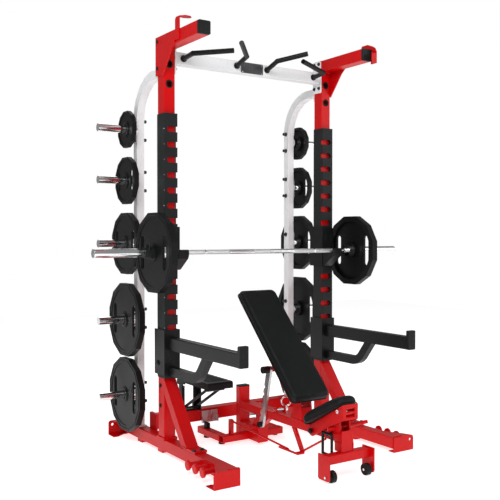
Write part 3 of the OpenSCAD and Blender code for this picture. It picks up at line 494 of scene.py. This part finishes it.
def vinyl(name, light, dark):
    """Padded vinyl: fine hide grain, tone drift, and painted shade that darkens the colour in the grain's
    creases.
    """
    mat, tree, bsdf = shaded(name, 0.46, specular=0.22)
    tone = group(
        tree, "tone", Light=rgba(light), Dark=rgba(dark), Patch_scale=5.0, Speck_scale=900.0, Speck_share=0.3
    )
    hide = group(tree, "grain", Cell_scale=520.0, Crease=0.3)
    # painted shade: the tone is multiplied down to 0.55 in the grain's creases and left whole on the cells
    crease_shade_factor = wire(
        tree, "ShaderNodeMapRange", [("Value", hide.outputs["Crease mask"])], in_To_Min=0.55, in_To_Max=1.0
    )
    painted_crease_shade = wire(tree, "ShaderNodeMix", [(6, tone.outputs["Color"])], data_type="RGBA", blend_type="MULTIPLY")
    painted_crease_shade.inputs[0].default_value = 1.0
    tree.links.new(crease_shade_factor.outputs[0], painted_crease_shade.inputs[7])
    tree.links.new(painted_crease_shade.outputs[2], bsdf.inputs["Base Color"])
    rough = wire(tree, "ShaderNodeMapRange", [("Value", tone.outputs["Mask"])], in_To_Min=0.4, in_To_Max=0.56)
    tree.links.new(rough.outputs[0], bsdf.inputs["Roughness"])
    bumped(tree, bsdf, hide.outputs["Height"], 0.00022)
    return mat


MATS = {}


def finish(key):
    """The station's finishes, each made once."""
    looks = bpy.context.scene.rack_looks
    if key not in MATS:
        red = np.array(looks.frame_red)
        black = np.array(looks.coat_black)
        pale = np.array(looks.pale_coat)
        makers = {
            "red": lambda: coated(
                "Red powder coat", red, red * 0.86, 0.32, 0.16, scuff_tone=(0.28, 0.01, 0.01), specular=0.2
            ),
            "black": lambda: coated(
                "Black powder coat", black, black * 0.72, 0.36, 0.14, scuff_tone=(0.03, 0.03, 0.032),
                specular=0.2
            ),
            "pale": lambda: coated(
                "Pale powder coat", pale, pale * 0.95, 0.4, 0.1, coat=0.15, scuff_tone=(0.6, 0.61, 0.62)
            ),
            "sleeve": lambda: rubbery(
                "Moulded wear sleeve", (0.016, 0.018, 0.0185), (0.01, 0.011, 0.0115), 0.46, 420.0
            ),
            "rubber": lambda: rubbery(
                "Plate rubber", (0.007, 0.0075, 0.008), (0.004, 0.0042, 0.0045), 0.42, 330.0, 0.0003
            ),
            "foot": lambda: rubbery("Foot rubber", (0.008, 0.008, 0.008), (0.005, 0.005, 0.005), 0.55),
            "steel": lambda: brushed(
                "Zinc plated steel", (0.56, 0.57, 0.58), (0.47, 0.48, 0.49), 0.32, (9, 9, 2)
            ),
            "chrome": lambda: brushed(
                "Bright chrome", (0.83, 0.84, 0.85), (0.7, 0.71, 0.72), 0.13, (4, 160, 160)
            ),
            "bolt": lambda: brushed(
                "Black oxide", (0.05, 0.05, 0.052), (0.025, 0.025, 0.026), 0.4, (60, 60, 60), 0.6
            ),
            "bar": lambda: knurled(
                "Knurled chrome", (0.78, 0.79, 0.8), (0.62, 0.63, 0.64), 0.2, at(0, BAR_Y, BAR_Z),
                ((-1, 0.06), (0.24, 0.4), (0.412, 0.63)), 0.0018
            ),
            "vinyl": lambda: vinyl(
                "Black vinyl", np.array(looks.pad_black), np.array(looks.pad_black) * 0.75
            ),
            "badge": lambda: coated(
                "Gloss badge", (0.05, 0.05, 0.055), (0.035, 0.035, 0.04), 0.2, 0.1, coat=0.8, height=0.00003
            ),
            "mark": lambda: coated(
                "Pale marking", (0.6, 0.61, 0.62), (0.48, 0.49, 0.5), 0.5, 0.1, height=0.00004
            ),
        }
        MATS[key] = makers[key]()
    return MATS[key]


# ------------------------------------------------------------------ soft pads
def pad_surface(outline, thickness, crown, rings=14, edge=0.016):
    """Crowned pad in its own plane. For a point of the outline at angle v, and u from the middle of the
    top, round the side, to the middle of the underside: the radius share is s(u) and the height is
    h(u), with h rising by crown * (1 - share^2) on the top and a quarter circle of radius edge at the rim."""
    outline = np.asarray(outline, float)
    centre = outline.mean(0)
    share_top = np.linspace(0.04, 1, rings) ** 0.8
    inset = 1 - edge / np.linalg.norm(outline - centre, axis=1).mean()
    rows, heights = [], []
    for s in share_top:
        rows.append(s * inset)
        heights.append(thickness + crown * (1 - s**2))
    for a in np.linspace(15, 90, 6):
        rows.append(inset + (1 - inset) * math.sin(math.radians(a)))
        heights.append(thickness - edge + edge * math.cos(math.radians(a)))
    for a in np.linspace(0, 75, 6):
        rows.append(inset + (1 - inset) * math.cos(math.radians(a)))
        heights.append(edge * 0.5 - edge * 0.5 * math.sin(math.radians(a)))
    for s in share_top[::-1]:
        rows.append(s * inset)
        heights.append(0.0)
    rows, heights = np.array(rows), np.array(heights)
    flat = centre + rows[:, None, None] * (outline - centre)[None]
    points = np.concatenate([flat, np.repeat(heights[:, None], len(outline), 1)[..., None]], -1)
    points = points.reshape(-1, 3)
    return capped(points, len(rows), len(outline), grid_faces(len(rows), len(outline), wrap_cols=True))


def rounded_outline(corners, radii, steps=10, between=10):
    """Closed outline through round corners: each corner is an arc of its own radius between its two sides."""
    corners = np.asarray(corners, float)
    rows = []
    n = len(corners)
    for k in range(n):
        prev, here, nxt = corners[k - 1], corners[k], corners[(k + 1) % n]
        a, b = (prev - here) / np.linalg.norm(prev - here), (nxt - here) / np.linalg.norm(nxt - here)
        half = math.acos(np.clip(a @ b, -1, 1)) / 2
        cut = radii[k] / math.tan(half)
        centre = here + (a + b) / np.linalg.norm(a + b) * radii[k] / math.sin(half)
        p0, p1 = here + a * cut, here + b * cut
        t0, t1 = math.atan2(*(p0 - centre)[::-1]), math.atan2(*(p1 - centre)[::-1])
        turn = (t1 - t0 + math.pi) % (2 * math.pi) - math.pi
        t = t0 + turn * np.linspace(0, 1, steps)
        rows.append(centre + radii[k] * np.stack([np.cos(t), np.sin(t)], -1))
    out = []
    for k in range(n):
        out.append(rows[k])
        p, q = rows[k][-1], rows[(k + 1) % n][0]
        out.append(p + (q - p) * np.linspace(0, 1, between + 2)[1:-1, None])
    return np.vstack(out)


def inflate(obj, cap, pressure, voxel, frames=20):
    """Cloth simulation under inner pressure; each point keeps its swell along the normal, from 0 to cap."""
    bm = bmesh.new()
    bm.from_mesh(obj.data)
    bmesh.ops.remove_doubles(bm, verts=bm.verts, dist=1e-6)
    bmesh.ops.recalc_face_normals(bm, faces=bm.faces)
    bm.to_mesh(obj.data)
    bm.free()
    remesh = obj.modifiers.new("Remesh", "REMESH")
    remesh.mode = "VOXEL"
    remesh.voxel_size = voxel
    bpy.context.view_layer.objects.active = obj
    obj.select_set(True)
    bpy.ops.object.modifier_apply(modifier=remesh.name)
    count = len(obj.data.vertices)
    before = np.empty(count * 3)
    obj.data.vertices.foreach_get("co", before)
    before = before.reshape(-1, 3)
    cloth = obj.modifiers.new("Cloth", "CLOTH")
    cloth.settings.use_pressure = True
    cloth.settings.uniform_pressure_force = pressure
    cloth.settings.effector_weights.gravity = 0
    cloth.settings.tension_stiffness = 30
    cloth.settings.compression_stiffness = 30
    cloth.settings.bending_stiffness = 1.5
    cloth.point_cache.frame_start, cloth.point_cache.frame_end = 1, frames
    scene = bpy.context.scene
    for f in range(1, frames + 1):
        scene.frame_set(f)
    shape = obj.evaluated_get(bpy.context.evaluated_depsgraph_get()).data
    after = np.empty(count * 3)
    shape.vertices.foreach_get("co", after)
    after = after.reshape(-1, 3)
    obj.modifiers.remove(cloth)
    scene.frame_set(1)
    normal = np.empty(count * 3)
    obj.data.vertex_normals.foreach_get("vector", normal)
    normal = normal.reshape(-1, 3)
    swell = np.clip(((after - before) * normal).sum(1), 0, cap)
    obj.data.vertices.foreach_set("co", (before + normal * swell[:, None]).ravel())
    obj.select_set(False)
    obj.data.update()


def place_on(obj, matrix, shift):
    """Turns and shifts a mesh by numbers, so that its object stays at the origin."""
    count = len(obj.data.vertices)
    co = np.empty(count * 3)
    obj.data.vertices.foreach_get("co", co)
    co = co.reshape(-1, 3) @ np.asarray(matrix).T + np.asarray(shift)
    obj.data.vertices.foreach_set("co", co.ravel())
    obj.data.update()


def tilt(degrees):
    """Turn about X, right-handed, as a 3 x 3 matrix."""
    c, s = math.cos(math.radians(degrees)), math.sin(math.radians(degrees))
    return np.array([[1, 0, 0], [0, c, -s], [0, s, c]])


BACK_PIVOT, BACK_ANGLE = at(0, -560, 345), 45.5
SEAT_PIVOT, SEAT_ANGLE = at(0, -933, 358), -29.8
SEAT_TAIL = (0, 0.271, -0.016)  # metres from the seat's pivot, along the seat


def upholstered(name, outline, low, thickness, crown, matrix, pivot, body, nodes, edge=0.016):
    """One pad: crowned shell, cloth pressure, a subdivision, then its place on the carrier."""
    points, faces = pad_surface(outline, thickness, crown, edge=edge)
    points[:, 2] += low
    mesh = bpy.data.meshes.new(name)
    mesh.from_pydata(points.tolist(), [], faces)
    obj = bpy.data.objects.new(name, mesh)
    bpy.context.scene.collection.objects.link(obj)
    inflate(obj, 0.006, 3.0, 0.0065)
    count = len(obj.data.vertices)
    co = np.empty(count * 3)
    obj.data.vertices.foreach_get("co", co)
    co = co.reshape(-1, 3)
    co[:, 2] = np.maximum(co[:, 2], low)
    obj.data.vertices.foreach_set("co", co.ravel())
    place_on(obj, matrix, pivot)
    for poly in obj.data.polygons:
        poly.use_smooth = True
    sub = obj.modifiers.new("Smooth", "SUBSURF")
    sub.levels = sub.render_levels = 1
    obj.data.materials.append(finish("vinyl"))
    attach(obj, body)
    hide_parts(*nodes)
    return obj


# ------------------------------------------------------------------ settings
class RackLooks(bpy.types.PropertyGroup):
    """Colours and small sizes of the station's finish."""

    frame_red: FloatVectorProperty(
        name="Frame red", description="Powder coat of the frame and bench", subtype="COLOR",
        default=(0.62, 0.0015, 0.003), min=0, max=1
    )
    coat_black: FloatVectorProperty(
        name="Black coat", description="Powder coat of arms, hooks and step", subtype="COLOR",
        default=(0.007, 0.0075, 0.0082), min=0, max=1
    )
    pale_coat: FloatVectorProperty(
        name="Pale coat", description="Coat of the storage posts and top crossmember", subtype="COLOR",
        default=(0.84, 0.85, 0.86), min=0, max=1
    )
    pad_black: FloatVectorProperty(
        name="Pad colour", description="Vinyl of backrest and seat", subtype="COLOR",
        default=(0.007, 0.0085, 0.009), min=0, max=1
    )
    weld_width: FloatProperty(
        name="Weld width", description="Radius of a weld bead", subtype="DISTANCE", default=0.004, min=0.001,
        max=0.01
    )
    tread_ribs: IntProperty(
        name="Tread ribs", description="Ribs across the step's tread", default=11, min=3, max=30
    )


class RackStage(bpy.types.PropertyGroup):
    """Camera, floor and light."""

    lens: FloatProperty(
        name="Lens", description="Camera lens on a 36 mm sensor", subtype="DISTANCE_CAMERA", default=55.61,
        min=10, max=200
    )
    floor_size: FloatProperty(
        name="Floor size", description="Side of the floor", subtype="DISTANCE", default=16.0, min=5, max=200
    )
    key_power: FloatProperty(
        name="Key light", description="Power of the main soft light", subtype="POWER", default=190.0, min=0,
        max=5000
    )


# ------------------------------------------------------------------ operators
class RACK_OT_stage(bpy.types.Operator):
    """Floor, soft studio light and camera"""

    bl_idname = "rack.stage"
    bl_label = "Stage"

    def execute(self, context):
        stage = context.scene.rack_stage
        half = stage.floor_size / 2
        mesh = bpy.data.meshes.new("Floor")
        mesh.from_pydata(
            [(-half, -half, 0), (half, -half, 0), (half, half, 0), (-half, half, 0)], [], [(0, 1, 2, 3)]
        )
        floor = bpy.data.objects.new("Floor", mesh)
        context.scene.collection.objects.link(floor)
        floor.location.z = -0.0005
        mat, tree, bsdf = shaded("Pale floor", 0.9, specular=0.1)
        bsdf.inputs["Emission Color"].default_value = (1, 1, 1, 1)
        bsdf.inputs["Emission Strength"].default_value = 0.68
        tone = group(
            tree, "tone", Light=(0.93, 0.93, 0.93, 1), Dark=(0.91, 0.91, 0.915, 1), Patch_scale=0.6,
            Speck_scale=60.0, Speck_share=0.3
        )
        tree.links.new(tone.outputs["Color"], bsdf.inputs["Base Color"])
        mesh.materials.append(mat)
        world = bpy.data.worlds.new("Studio")
        world.use_nodes = True
        back = world.node_tree.nodes["Background"]
        back.inputs[0].default_value = (1, 1, 1, 1)
        seen = wire(world.node_tree, "ShaderNodeLightPath")
        level = wire(
            world.node_tree, "ShaderNodeMapRange", [("Value", seen.outputs["Is Camera Ray"])], in_To_Min=0.3,
            in_To_Max=1.0
        )
        world.node_tree.links.new(level.outputs[0], back.inputs[1])
        context.scene.world = world
        context.scene.view_settings.view_transform = "Standard"
        aim = Vector((0, 0, 1.1))
        for name, place, size, power in (
            ("Key", (-3.4, -3.6, 4.6), 2.6, stage.key_power),
            ("Fill", (4.6, -3.2, 3.0), 3.2, stage.key_power * 0.35),
            ("Back", (0.6, 5.0, 4.4), 3.4, stage.key_power * 0.45),
        ):
            light = bpy.data.lights.new(name, "AREA")
            light.shape, light.size, light.energy = "SQUARE", size, power
            lamp = bpy.data.objects.new(name, light)
            lamp.location = place
            lamp.rotation_euler = (aim - Vector(place)).to_track_quat("-Z", "Y").to_euler()
            context.scene.collection.objects.link(lamp)
        cam = bpy.data.cameras.new("Camera")
        cam.lens, cam.sensor_width = stage.lens, 36.0
        cam.clip_end = 200
        cam.dof.use_dof = False
        eye = bpy.data.objects.new("Camera", cam)
        eye.location = Vector(at(*EYE))
        eye.rotation_euler = (math.radians(EYE_PITCH), 0, math.radians(EYE_YAW))
        context.scene.collection.objects.link(eye)
        context.scene.camera = eye
        return {"FINISHED"}


NODE_FINISH = {
    "red": (
        "left_base_rail right_base_rail rear_crossmember left_upright right_upright left_brace right_brace "
        "left_top_arm right_top_arm rope_hangers bench_frame bench_front_foot release_linkage backrest_frame "
        "seat_carriage"
    ),
    "black": (
        "pull_up_grips step_bracket step_platform step_strut left_safety_arm right_safety_arm left_bar_hook "
        "right_bar_hook seat_handle"
    ),
    "sleeve": "left_wear_sleeve right_wear_sleeve arm_end_caps left_bar_collar right_bar_collar",
    "pale": "left_storage_post right_storage_post top_crossmember",
    "steel": "dock_plates ladder_strut",
    "chrome": "plate_horns left_bar_sleeve right_bar_sleeve ladder_pin bench_pins",
    "bolt": "frame_fasteners",
    "bar": "bar_shaft",
    "rubber": "left_bar_plate right_bar_plate " + " ".join(
        f"{s}_plate_{i}" for s in ("left", "right") for i in range(1, 6)
    ),
    "foot": "bench_feet left_wheel right_wheel ladder_knobs",
    "vinyl": "backrest_pad seat_pad",
    "badge": "name_plate",
}


class RACK_OT_finishes(bpy.types.Operator):
    """Procedural finish on every carried-over part"""

    bl_idname = "rack.finishes"
    bl_label = "Frame finishes"

    def execute(self, context):
        done = set()
        for key, names in NODE_FINISH.items():
            for name in names.split():
                mesh = NODES[name].data
                mesh.materials.clear()
                mesh.materials.append(finish(key))
                done.add(name)
        left = set(NODES) - done
        if left:
            raise RuntimeError(f"no finish for {sorted(left)}")
        return {"FINISHED"}


def weld(path, width, seed):
    """Weld bead: a tube along the joint whose radius ripples as 1 + 0.16 * sin(k * length)."""
    path = pts(path)
    seg = np.linalg.norm(np.diff(path, axis=0), axis=1)
    total = seg.sum()
    count = max(8, int(total / 0.0022))
    t = np.linspace(0, total, count)
    knots = np.concatenate([[0], np.cumsum(seg)])
    line = np.stack([np.interp(t, knots, path[:, k]) for k in range(3)], -1)
    ripple = width * (1 + 0.16 * np.sin(t / 0.0045 * 2 * np.pi + seed))
    ripple[0] *= 0.4
    ripple[-1] *= 0.4
    direction = np.abs(line[-1] - line[0])
    up = (0, 0, 1) if direction[2] < max(direction[0], direction[1]) else (0, 1, 0)
    return sweep(line, ripple, 6, up)


LEAN = math.radians(51.7)  # of the braces, from the rail
RAIL_TOP, BRACE_TOP, BRACE_DEPTH = 104, 448, 52
BRACE_FRONT = -HALF_TUBE - (BRACE_TOP - RAIL_TOP) / math.tan(LEAN)
BRACE = (BRACE_FRONT, BRACE_FRONT + BRACE_DEPTH / math.sin(LEAN))


class RACK_OT_welds(bpy.types.Operator):
    """Rippled weld beads where tubes meet"""

    bl_idname = "rack.welds"
    bl_label = "Welds"

    def execute(self, context):
        w = context.scene.rack_looks.weld_width
        h = HALF_TUBE
        rack, bench = [], []
        for s in (-1, 1):
            o, i = s * OUTER, s * INNER
            # foot of the upright on its plate
            z = 105
            rack += [
                weld([(o, -h, z), (o, h, z)], w, 1), weld([(i, -h, z), (i, h, z)], w, 2),
                weld([(i, h, z), (o, h, z)], w, 3)
            ]
            # brace at the upright and at the rail
            rack += [weld([(i, -39, 447), (o, -39, 447)], w, 4)]
            for x in (i, o):
                rack.append(weld([(x, BRACE[0], 105), (x, BRACE[1], 105)], w, 5))
            # end plates on the rail
            for y in (-727, 590):
                rack += [
                    weld([(s * 541, y, 24), (s * 541, y, 88)], w, 6),
                    weld([(s * 541, y, 91), (s * 612, y, 91)], w, 7)
                ]
            # arm on the upright
            rack += [
                weld([(i, -39, 2375), (i, -39, 2446)], w, 8), weld([(i, -39, 2374), (o, -39, 2374)], w, 9)
            ]
        z = 238
        bench += [
            weld([(-38, 49, 240), (-38, 49, 200)], w * 0.8, 1),
            weld([(-38, 50, 239), (38, 50, 239)], w * 0.8, 2)
        ]
        for x in (-39, 39):
            bench += [weld([(x, -600, z), (x, -492, z)], w * 0.8, 3)]
        for x in (-38, 38):
            bench += [
                weld([(x, -942, 186), (x, -882, 186)], w * 0.8, 4),
                weld([(x, -942, 141), (x, -906, 141)], w * 0.8, 5)
            ]
        for x in (-225, -175, 175, 225):
            bench += [weld([(x, 0, 18), (x, 0, 59)], w * 0.8, 6)]
        build("weld_beads_rack", rack, "rack", finish("red"))
        build("weld_beads_bench", bench, "bench", finish("red"))
        return {"FINISHED"}


class RACK_OT_rack_fittings(bpy.types.Operator):
    """Hole bushings, tick marks, rivets of the blank badge and band peg caps"""

    bl_idname = "rack.fittings"
    bl_label = "Rack fittings"

    def execute(self, context):
        rims, marks, rivets, washers = [], [], [], []
        for s in (-1, 1):
            for z in (2288, 2173):
                for y, d in ((-HALF_TUBE, -1), (HALF_TUBE, 1)):
                    profile = [
                        (17, -6), (17, 1.4), (19, 2.6), (23, 2.4), (24.5, 0.8), (24.5, 0), (18.9, 0),
                        (18.9, -6)
                    ]
                    rims.append(lathe(profile, at(s * HALF_SPAN, y, z), (0, d, 0), 40, close=False))
            for k in range(MARK_COUNT):
                z = MARK_TOP - MARK_PITCH * k
                long = 16 if k % 5 == 0 else 8
                x = s * MARK_X
                marks.append(rounded_box(
                    at(min(x, x + s * MARK_DEPTH), -60, z - 1.6),
                    at(max(x, x + s * MARK_DEPTH), -60 + long, z + 1.6), 0.0002, 1
                ))
            for x in (-72, 72):
                rivets.append(lathe(
                    [(0.2, 2.2), (2.6, 1.8), (3.6, 0.6), (3.8, 0)], at(s * 72, -32, 2332 + x * 0.36),
                    (0, -1, 0), 20
                ))
            for y in (-446, -526, -604):
                washers.append(lathe(
                    [(0.5, 1.6), (17, 1.6), (23, 0.9), (26.4, -1.2)], at(s * 694.6, y, 57), (s, 0, 0), 40
                ))
        build("hole_bushings", rims, "rack", finish("sleeve"))
        build("sleeve_tick_marks", marks, "rack", finish("mark"))
        build("badge_rivets", rivets, "rack", finish("chrome"))
        build("band_peg_caps", washers, "rack", finish("red"))
        return {"FINISHED"}


class RACK_OT_safety_fittings(bpy.types.Operator):
    """Lock discs of the safety arms"""

    bl_idname = "rack.lock_pins"
    bl_label = "Lock pins"

    def execute(self, context):
        knob = [(16, 0), (16, 4), (14, 6), (9, 6.6), (8, 9), (6, 10.4), (1, 10.8)]
        for side, s in (("left", -1), ("right", 1)):
            build(
                f"{side}_safety_lock", [lathe(knob, at(s * 635.5, 12, 541), (s, 0, 0), 32)], f"{side}_safety",
                finish("black")
            )
        return {"FINISHED"}


class RACK_OT_plate_hubs(bpy.types.Operator):
    """Moulded hub rings and raised rims on every weight plate"""

    bl_idname = "rack.plate_hubs"
    bl_label = "Plate hubs"

    def execute(self, context):
        for s, side in ((-1, "left"), (1, "right")):
            spots = [(f"{side}_disc_{i + 1}", f"{side}_plate_{i + 1}", POST_Y, HORN_Z[i]) for i in range(5)]
            spots.append((f"{side}_weight", f"{side}_bar_plate", BAR_Y, BAR_Z))
            for body, node, y, z in spots:
                low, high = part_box(node)
                face = (low.x if s < 0 else high.x) / MM
                big = (high.z - low.z) / 2 / MM
                ring = [(26, -3), (26, 2.2), (28, 3.4), (41, 3.4), (44, 2), (44, -3)]
                hub = lathe(ring, at(face, y, z), (s, 0, 0), 56, close=False)
                build(f"{node}_hub", [hub], body, finish("rubber"))
                bead_r = big * 0.93
                t = np.linspace(0, 2 * np.pi, 13)[:-1] + np.pi / 12
                knots = np.stack(
                    [
                        np.full(12, face + s * 0.4), y + bead_r * np.cos(t) / math.cos(math.pi / 12),
                        z + bead_r * np.sin(t) / math.cos(math.pi / 12)
                    ],
                    -1
                )
                loop = np.concatenate([
                    knots[k] + (knots[(k + 1) % 12] - knots[k]) * np.linspace(0, 1, 8)[:-1, None]
                    for k in range(12)
                ])
                build(
                    f"{node}_rim_bead", [sweep(pts(loop), 0.0022, 8, (1, 0, 0), closed=True)], body,
                    finish("rubber")
                )
        return {"FINISHED"}


class RACK_OT_bar_fittings(bpy.types.Operator):
    """Sleeve end caps and collar levers, with ribs round each collar"""

    bl_idname = "rack.bar_fittings"
    bl_label = "Bar fittings"

    def execute(self, context):
        for s, side in ((-1, "left"), (1, "right")):
            cap = [
                (0.4, 0.6), (9, 0.6), (10, -0.6), (20, -0.6), (21.5, 0.2), (24, -0.4), (25.2, -2), (25.2, -9)
            ]
            build(
                f"{side}_bar_end_cap", [lathe(cap, at(s * BAR_END, BAR_Y, BAR_Z), (s, 0, 0), 48)],
                f"{side}_bar_end", finish("chrome")
            )
            x = s * COLLAR_X
            lever = [(x, -168, 1206), (x, -176, 1222), (x + s * 4, -182, 1244), (x + s * 8, -180, 1262)]
            path = pts(lever)
            t = np.linspace(0, 3, 24)
            line = np.stack([np.interp(t, np.arange(4), path[:, k]) for k in range(3)], -1)
            ribs = [lathe(
                [(30, -1.5), (31.6, 0), (30, 1.5)], at(s * x0, BAR_Y, BAR_Z), (s, 0, 0), 40, close=True
            ) for x0 in (768, 776, 784, 792)]
            build(
                f"{side}_collar_lever", [sweep(line, 0.006, 10, (1, 0, 0), 0.7)] + ribs, f"{side}_collar",
                finish("sleeve")
            )
        return {"FINISHED"}


class RACK_OT_step_tread(bpy.types.Operator):
    """Raised anti-slip ribs on the tread"""

    bl_idname = "rack.step_tread"
    bl_label = "Step tread"

    def execute(self, context):
        low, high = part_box("step_platform")
        n = context.scene.rack_looks.tread_ribs
        x0, x1 = low.x + 0.022, high.x - 0.022
        ys = np.linspace(low.y + 0.05, high.y - 0.05, n)
        top = 0.420
        ribs = [rounded_box(
            (x0, y - 0.005, top - 0.001), (x1, y + 0.005, top + 0.0022), 0.0015, 2
        ) for y in ys]
        build("step_tread_ribs", ribs, "step", finish("foot"))
        return {"FINISHED"}


class RACK_OT_pads(bpy.types.Operator):
    """Backrest and seat pads, with piping"""

    bl_idname = "rack.pads"
    bl_label = "Pads"

    def execute(self, context):
        w, y0, y1 = 0.129, -0.038, 0.768
        back = rounded_outline([(w, y0), (w, y1), (-w, y1), (-w, y0)], [0.026] * 4, 8, 16)
        upholstered(
            "backrest_cushion", back, 0.0465, 0.045, 0.006, tilt(BACK_ANGLE), BACK_PIVOT, "backrest",
            ["backrest_pad"]
        )
        seat = rounded_outline(
            [(0.129, 0.259), (-0.129, 0.259), (-0.057, -0.052), (0.057, -0.052)],
            [0.045, 0.045, 0.045, 0.045], 8, 14
        )
        upholstered(
            "seat_cushion", seat, 0.0195, 0.05, 0.006, tilt(SEAT_ANGLE), SEAT_PIVOT, "seat", ["seat_pad"],
            0.026
        )
        # piping round the lower edge of each pad
        for name, outline, z, matrix, pivot, body in (
            ("backrest_piping", back, 0.0505, tilt(BACK_ANGLE), BACK_PIVOT, "backrest"),
            ("seat_piping", seat, 0.0235, tilt(SEAT_ANGLE), SEAT_PIVOT, "seat"),
        ):
            ring = np.column_stack([outline * 1.002, np.full(len(outline), z)])
            build(
                name, [moved(sweep(ring, 0.0032, 8, (0, 0, 1), closed=True), matrix, pivot)], body,
                finish("vinyl")
            )
        return {"FINISHED"}


class RACK_OT_bench_fittings(bpy.types.Operator):
    """Wheel hubs of the bench and knobs at the seat's tail"""

    bl_idname = "rack.bench_fittings"
    bl_label = "Bench fittings"

    def execute(self, context):
        for s, side in ((-1, "left"), (1, "right")):
            x = s * WHEEL_X
            hub = [(7, -10.5), (20, -10.5), (22.5, -8.4), (22.5, 8.4), (20, 10.5), (7, 10.5)]
            build(
                f"{side}_wheel_hub", [lathe(hub, at(x, WHEEL_Y, WHEEL_Z), (1, 0, 0), 40, close=False)],
                f"{side}_roller", finish("foot")
            )
        # a knob on each side of the seat carriage's tail
        low = SEAT_PIVOT + tilt(SEAT_ANGLE) @ np.array(SEAT_TAIL)
        knob = [(8, -2), (8, 3), (13, 5), (14.5, 8), (14.5, 15), (12.5, 18), (4, 19.5)]
        caps = [lathe(knob, low + np.array([side * 0.052, 0, 0]), (side, 0, 0), 32) for side in (-1, 1)]
        build("seat_tail_knobs", caps, "seat", finish("foot"))
        return {"FINISHED"}


PIECES = [
    RACK_OT_stage, RACK_OT_finishes, RACK_OT_welds, RACK_OT_rack_fittings, RACK_OT_safety_fittings,
    RACK_OT_plate_hubs, RACK_OT_bar_fittings, RACK_OT_step_tread, RACK_OT_pads, RACK_OT_bench_fittings
]


class RACK_PT_panel(bpy.types.Panel):
    """Station pieces"""

    bl_idname = "RACK_PT_panel"
    bl_label = "Half rack"
    bl_space_type = "VIEW_3D"
    bl_region_type = "UI"
    bl_category = "Rack"

    def draw(self, context):
        for holder in (context.scene.rack_looks, context.scene.rack_stage):
            for key in holder.bl_rna.properties.keys():
                if key not in ("rna_type", "name"):
                    self.layout.prop(holder, key)
        for piece in PIECES:
            self.layout.operator(piece.bl_idname)


CLASSES = [RackLooks, RackStage, *PIECES, RACK_PT_panel]


def register():
    for cls in CLASSES:
        bpy.utils.register_class(cls)
    bpy.types.Scene.rack_looks = PointerProperty(type=RackLooks)
    bpy.types.Scene.rack_stage = PointerProperty(type=RackStage)


def unregister():
    del bpy.types.Scene.rack_stage
    del bpy.types.Scene.rack_looks
    for cls in reversed(CLASSES):
        bpy.utils.unregister_class(cls)


def main():
    register()
    for piece in PIECES:
        group_name, label = piece.bl_idname.split(".")
        getattr(getattr(bpy.ops, group_name), label)()


if __name__ == "__main__":
    main()
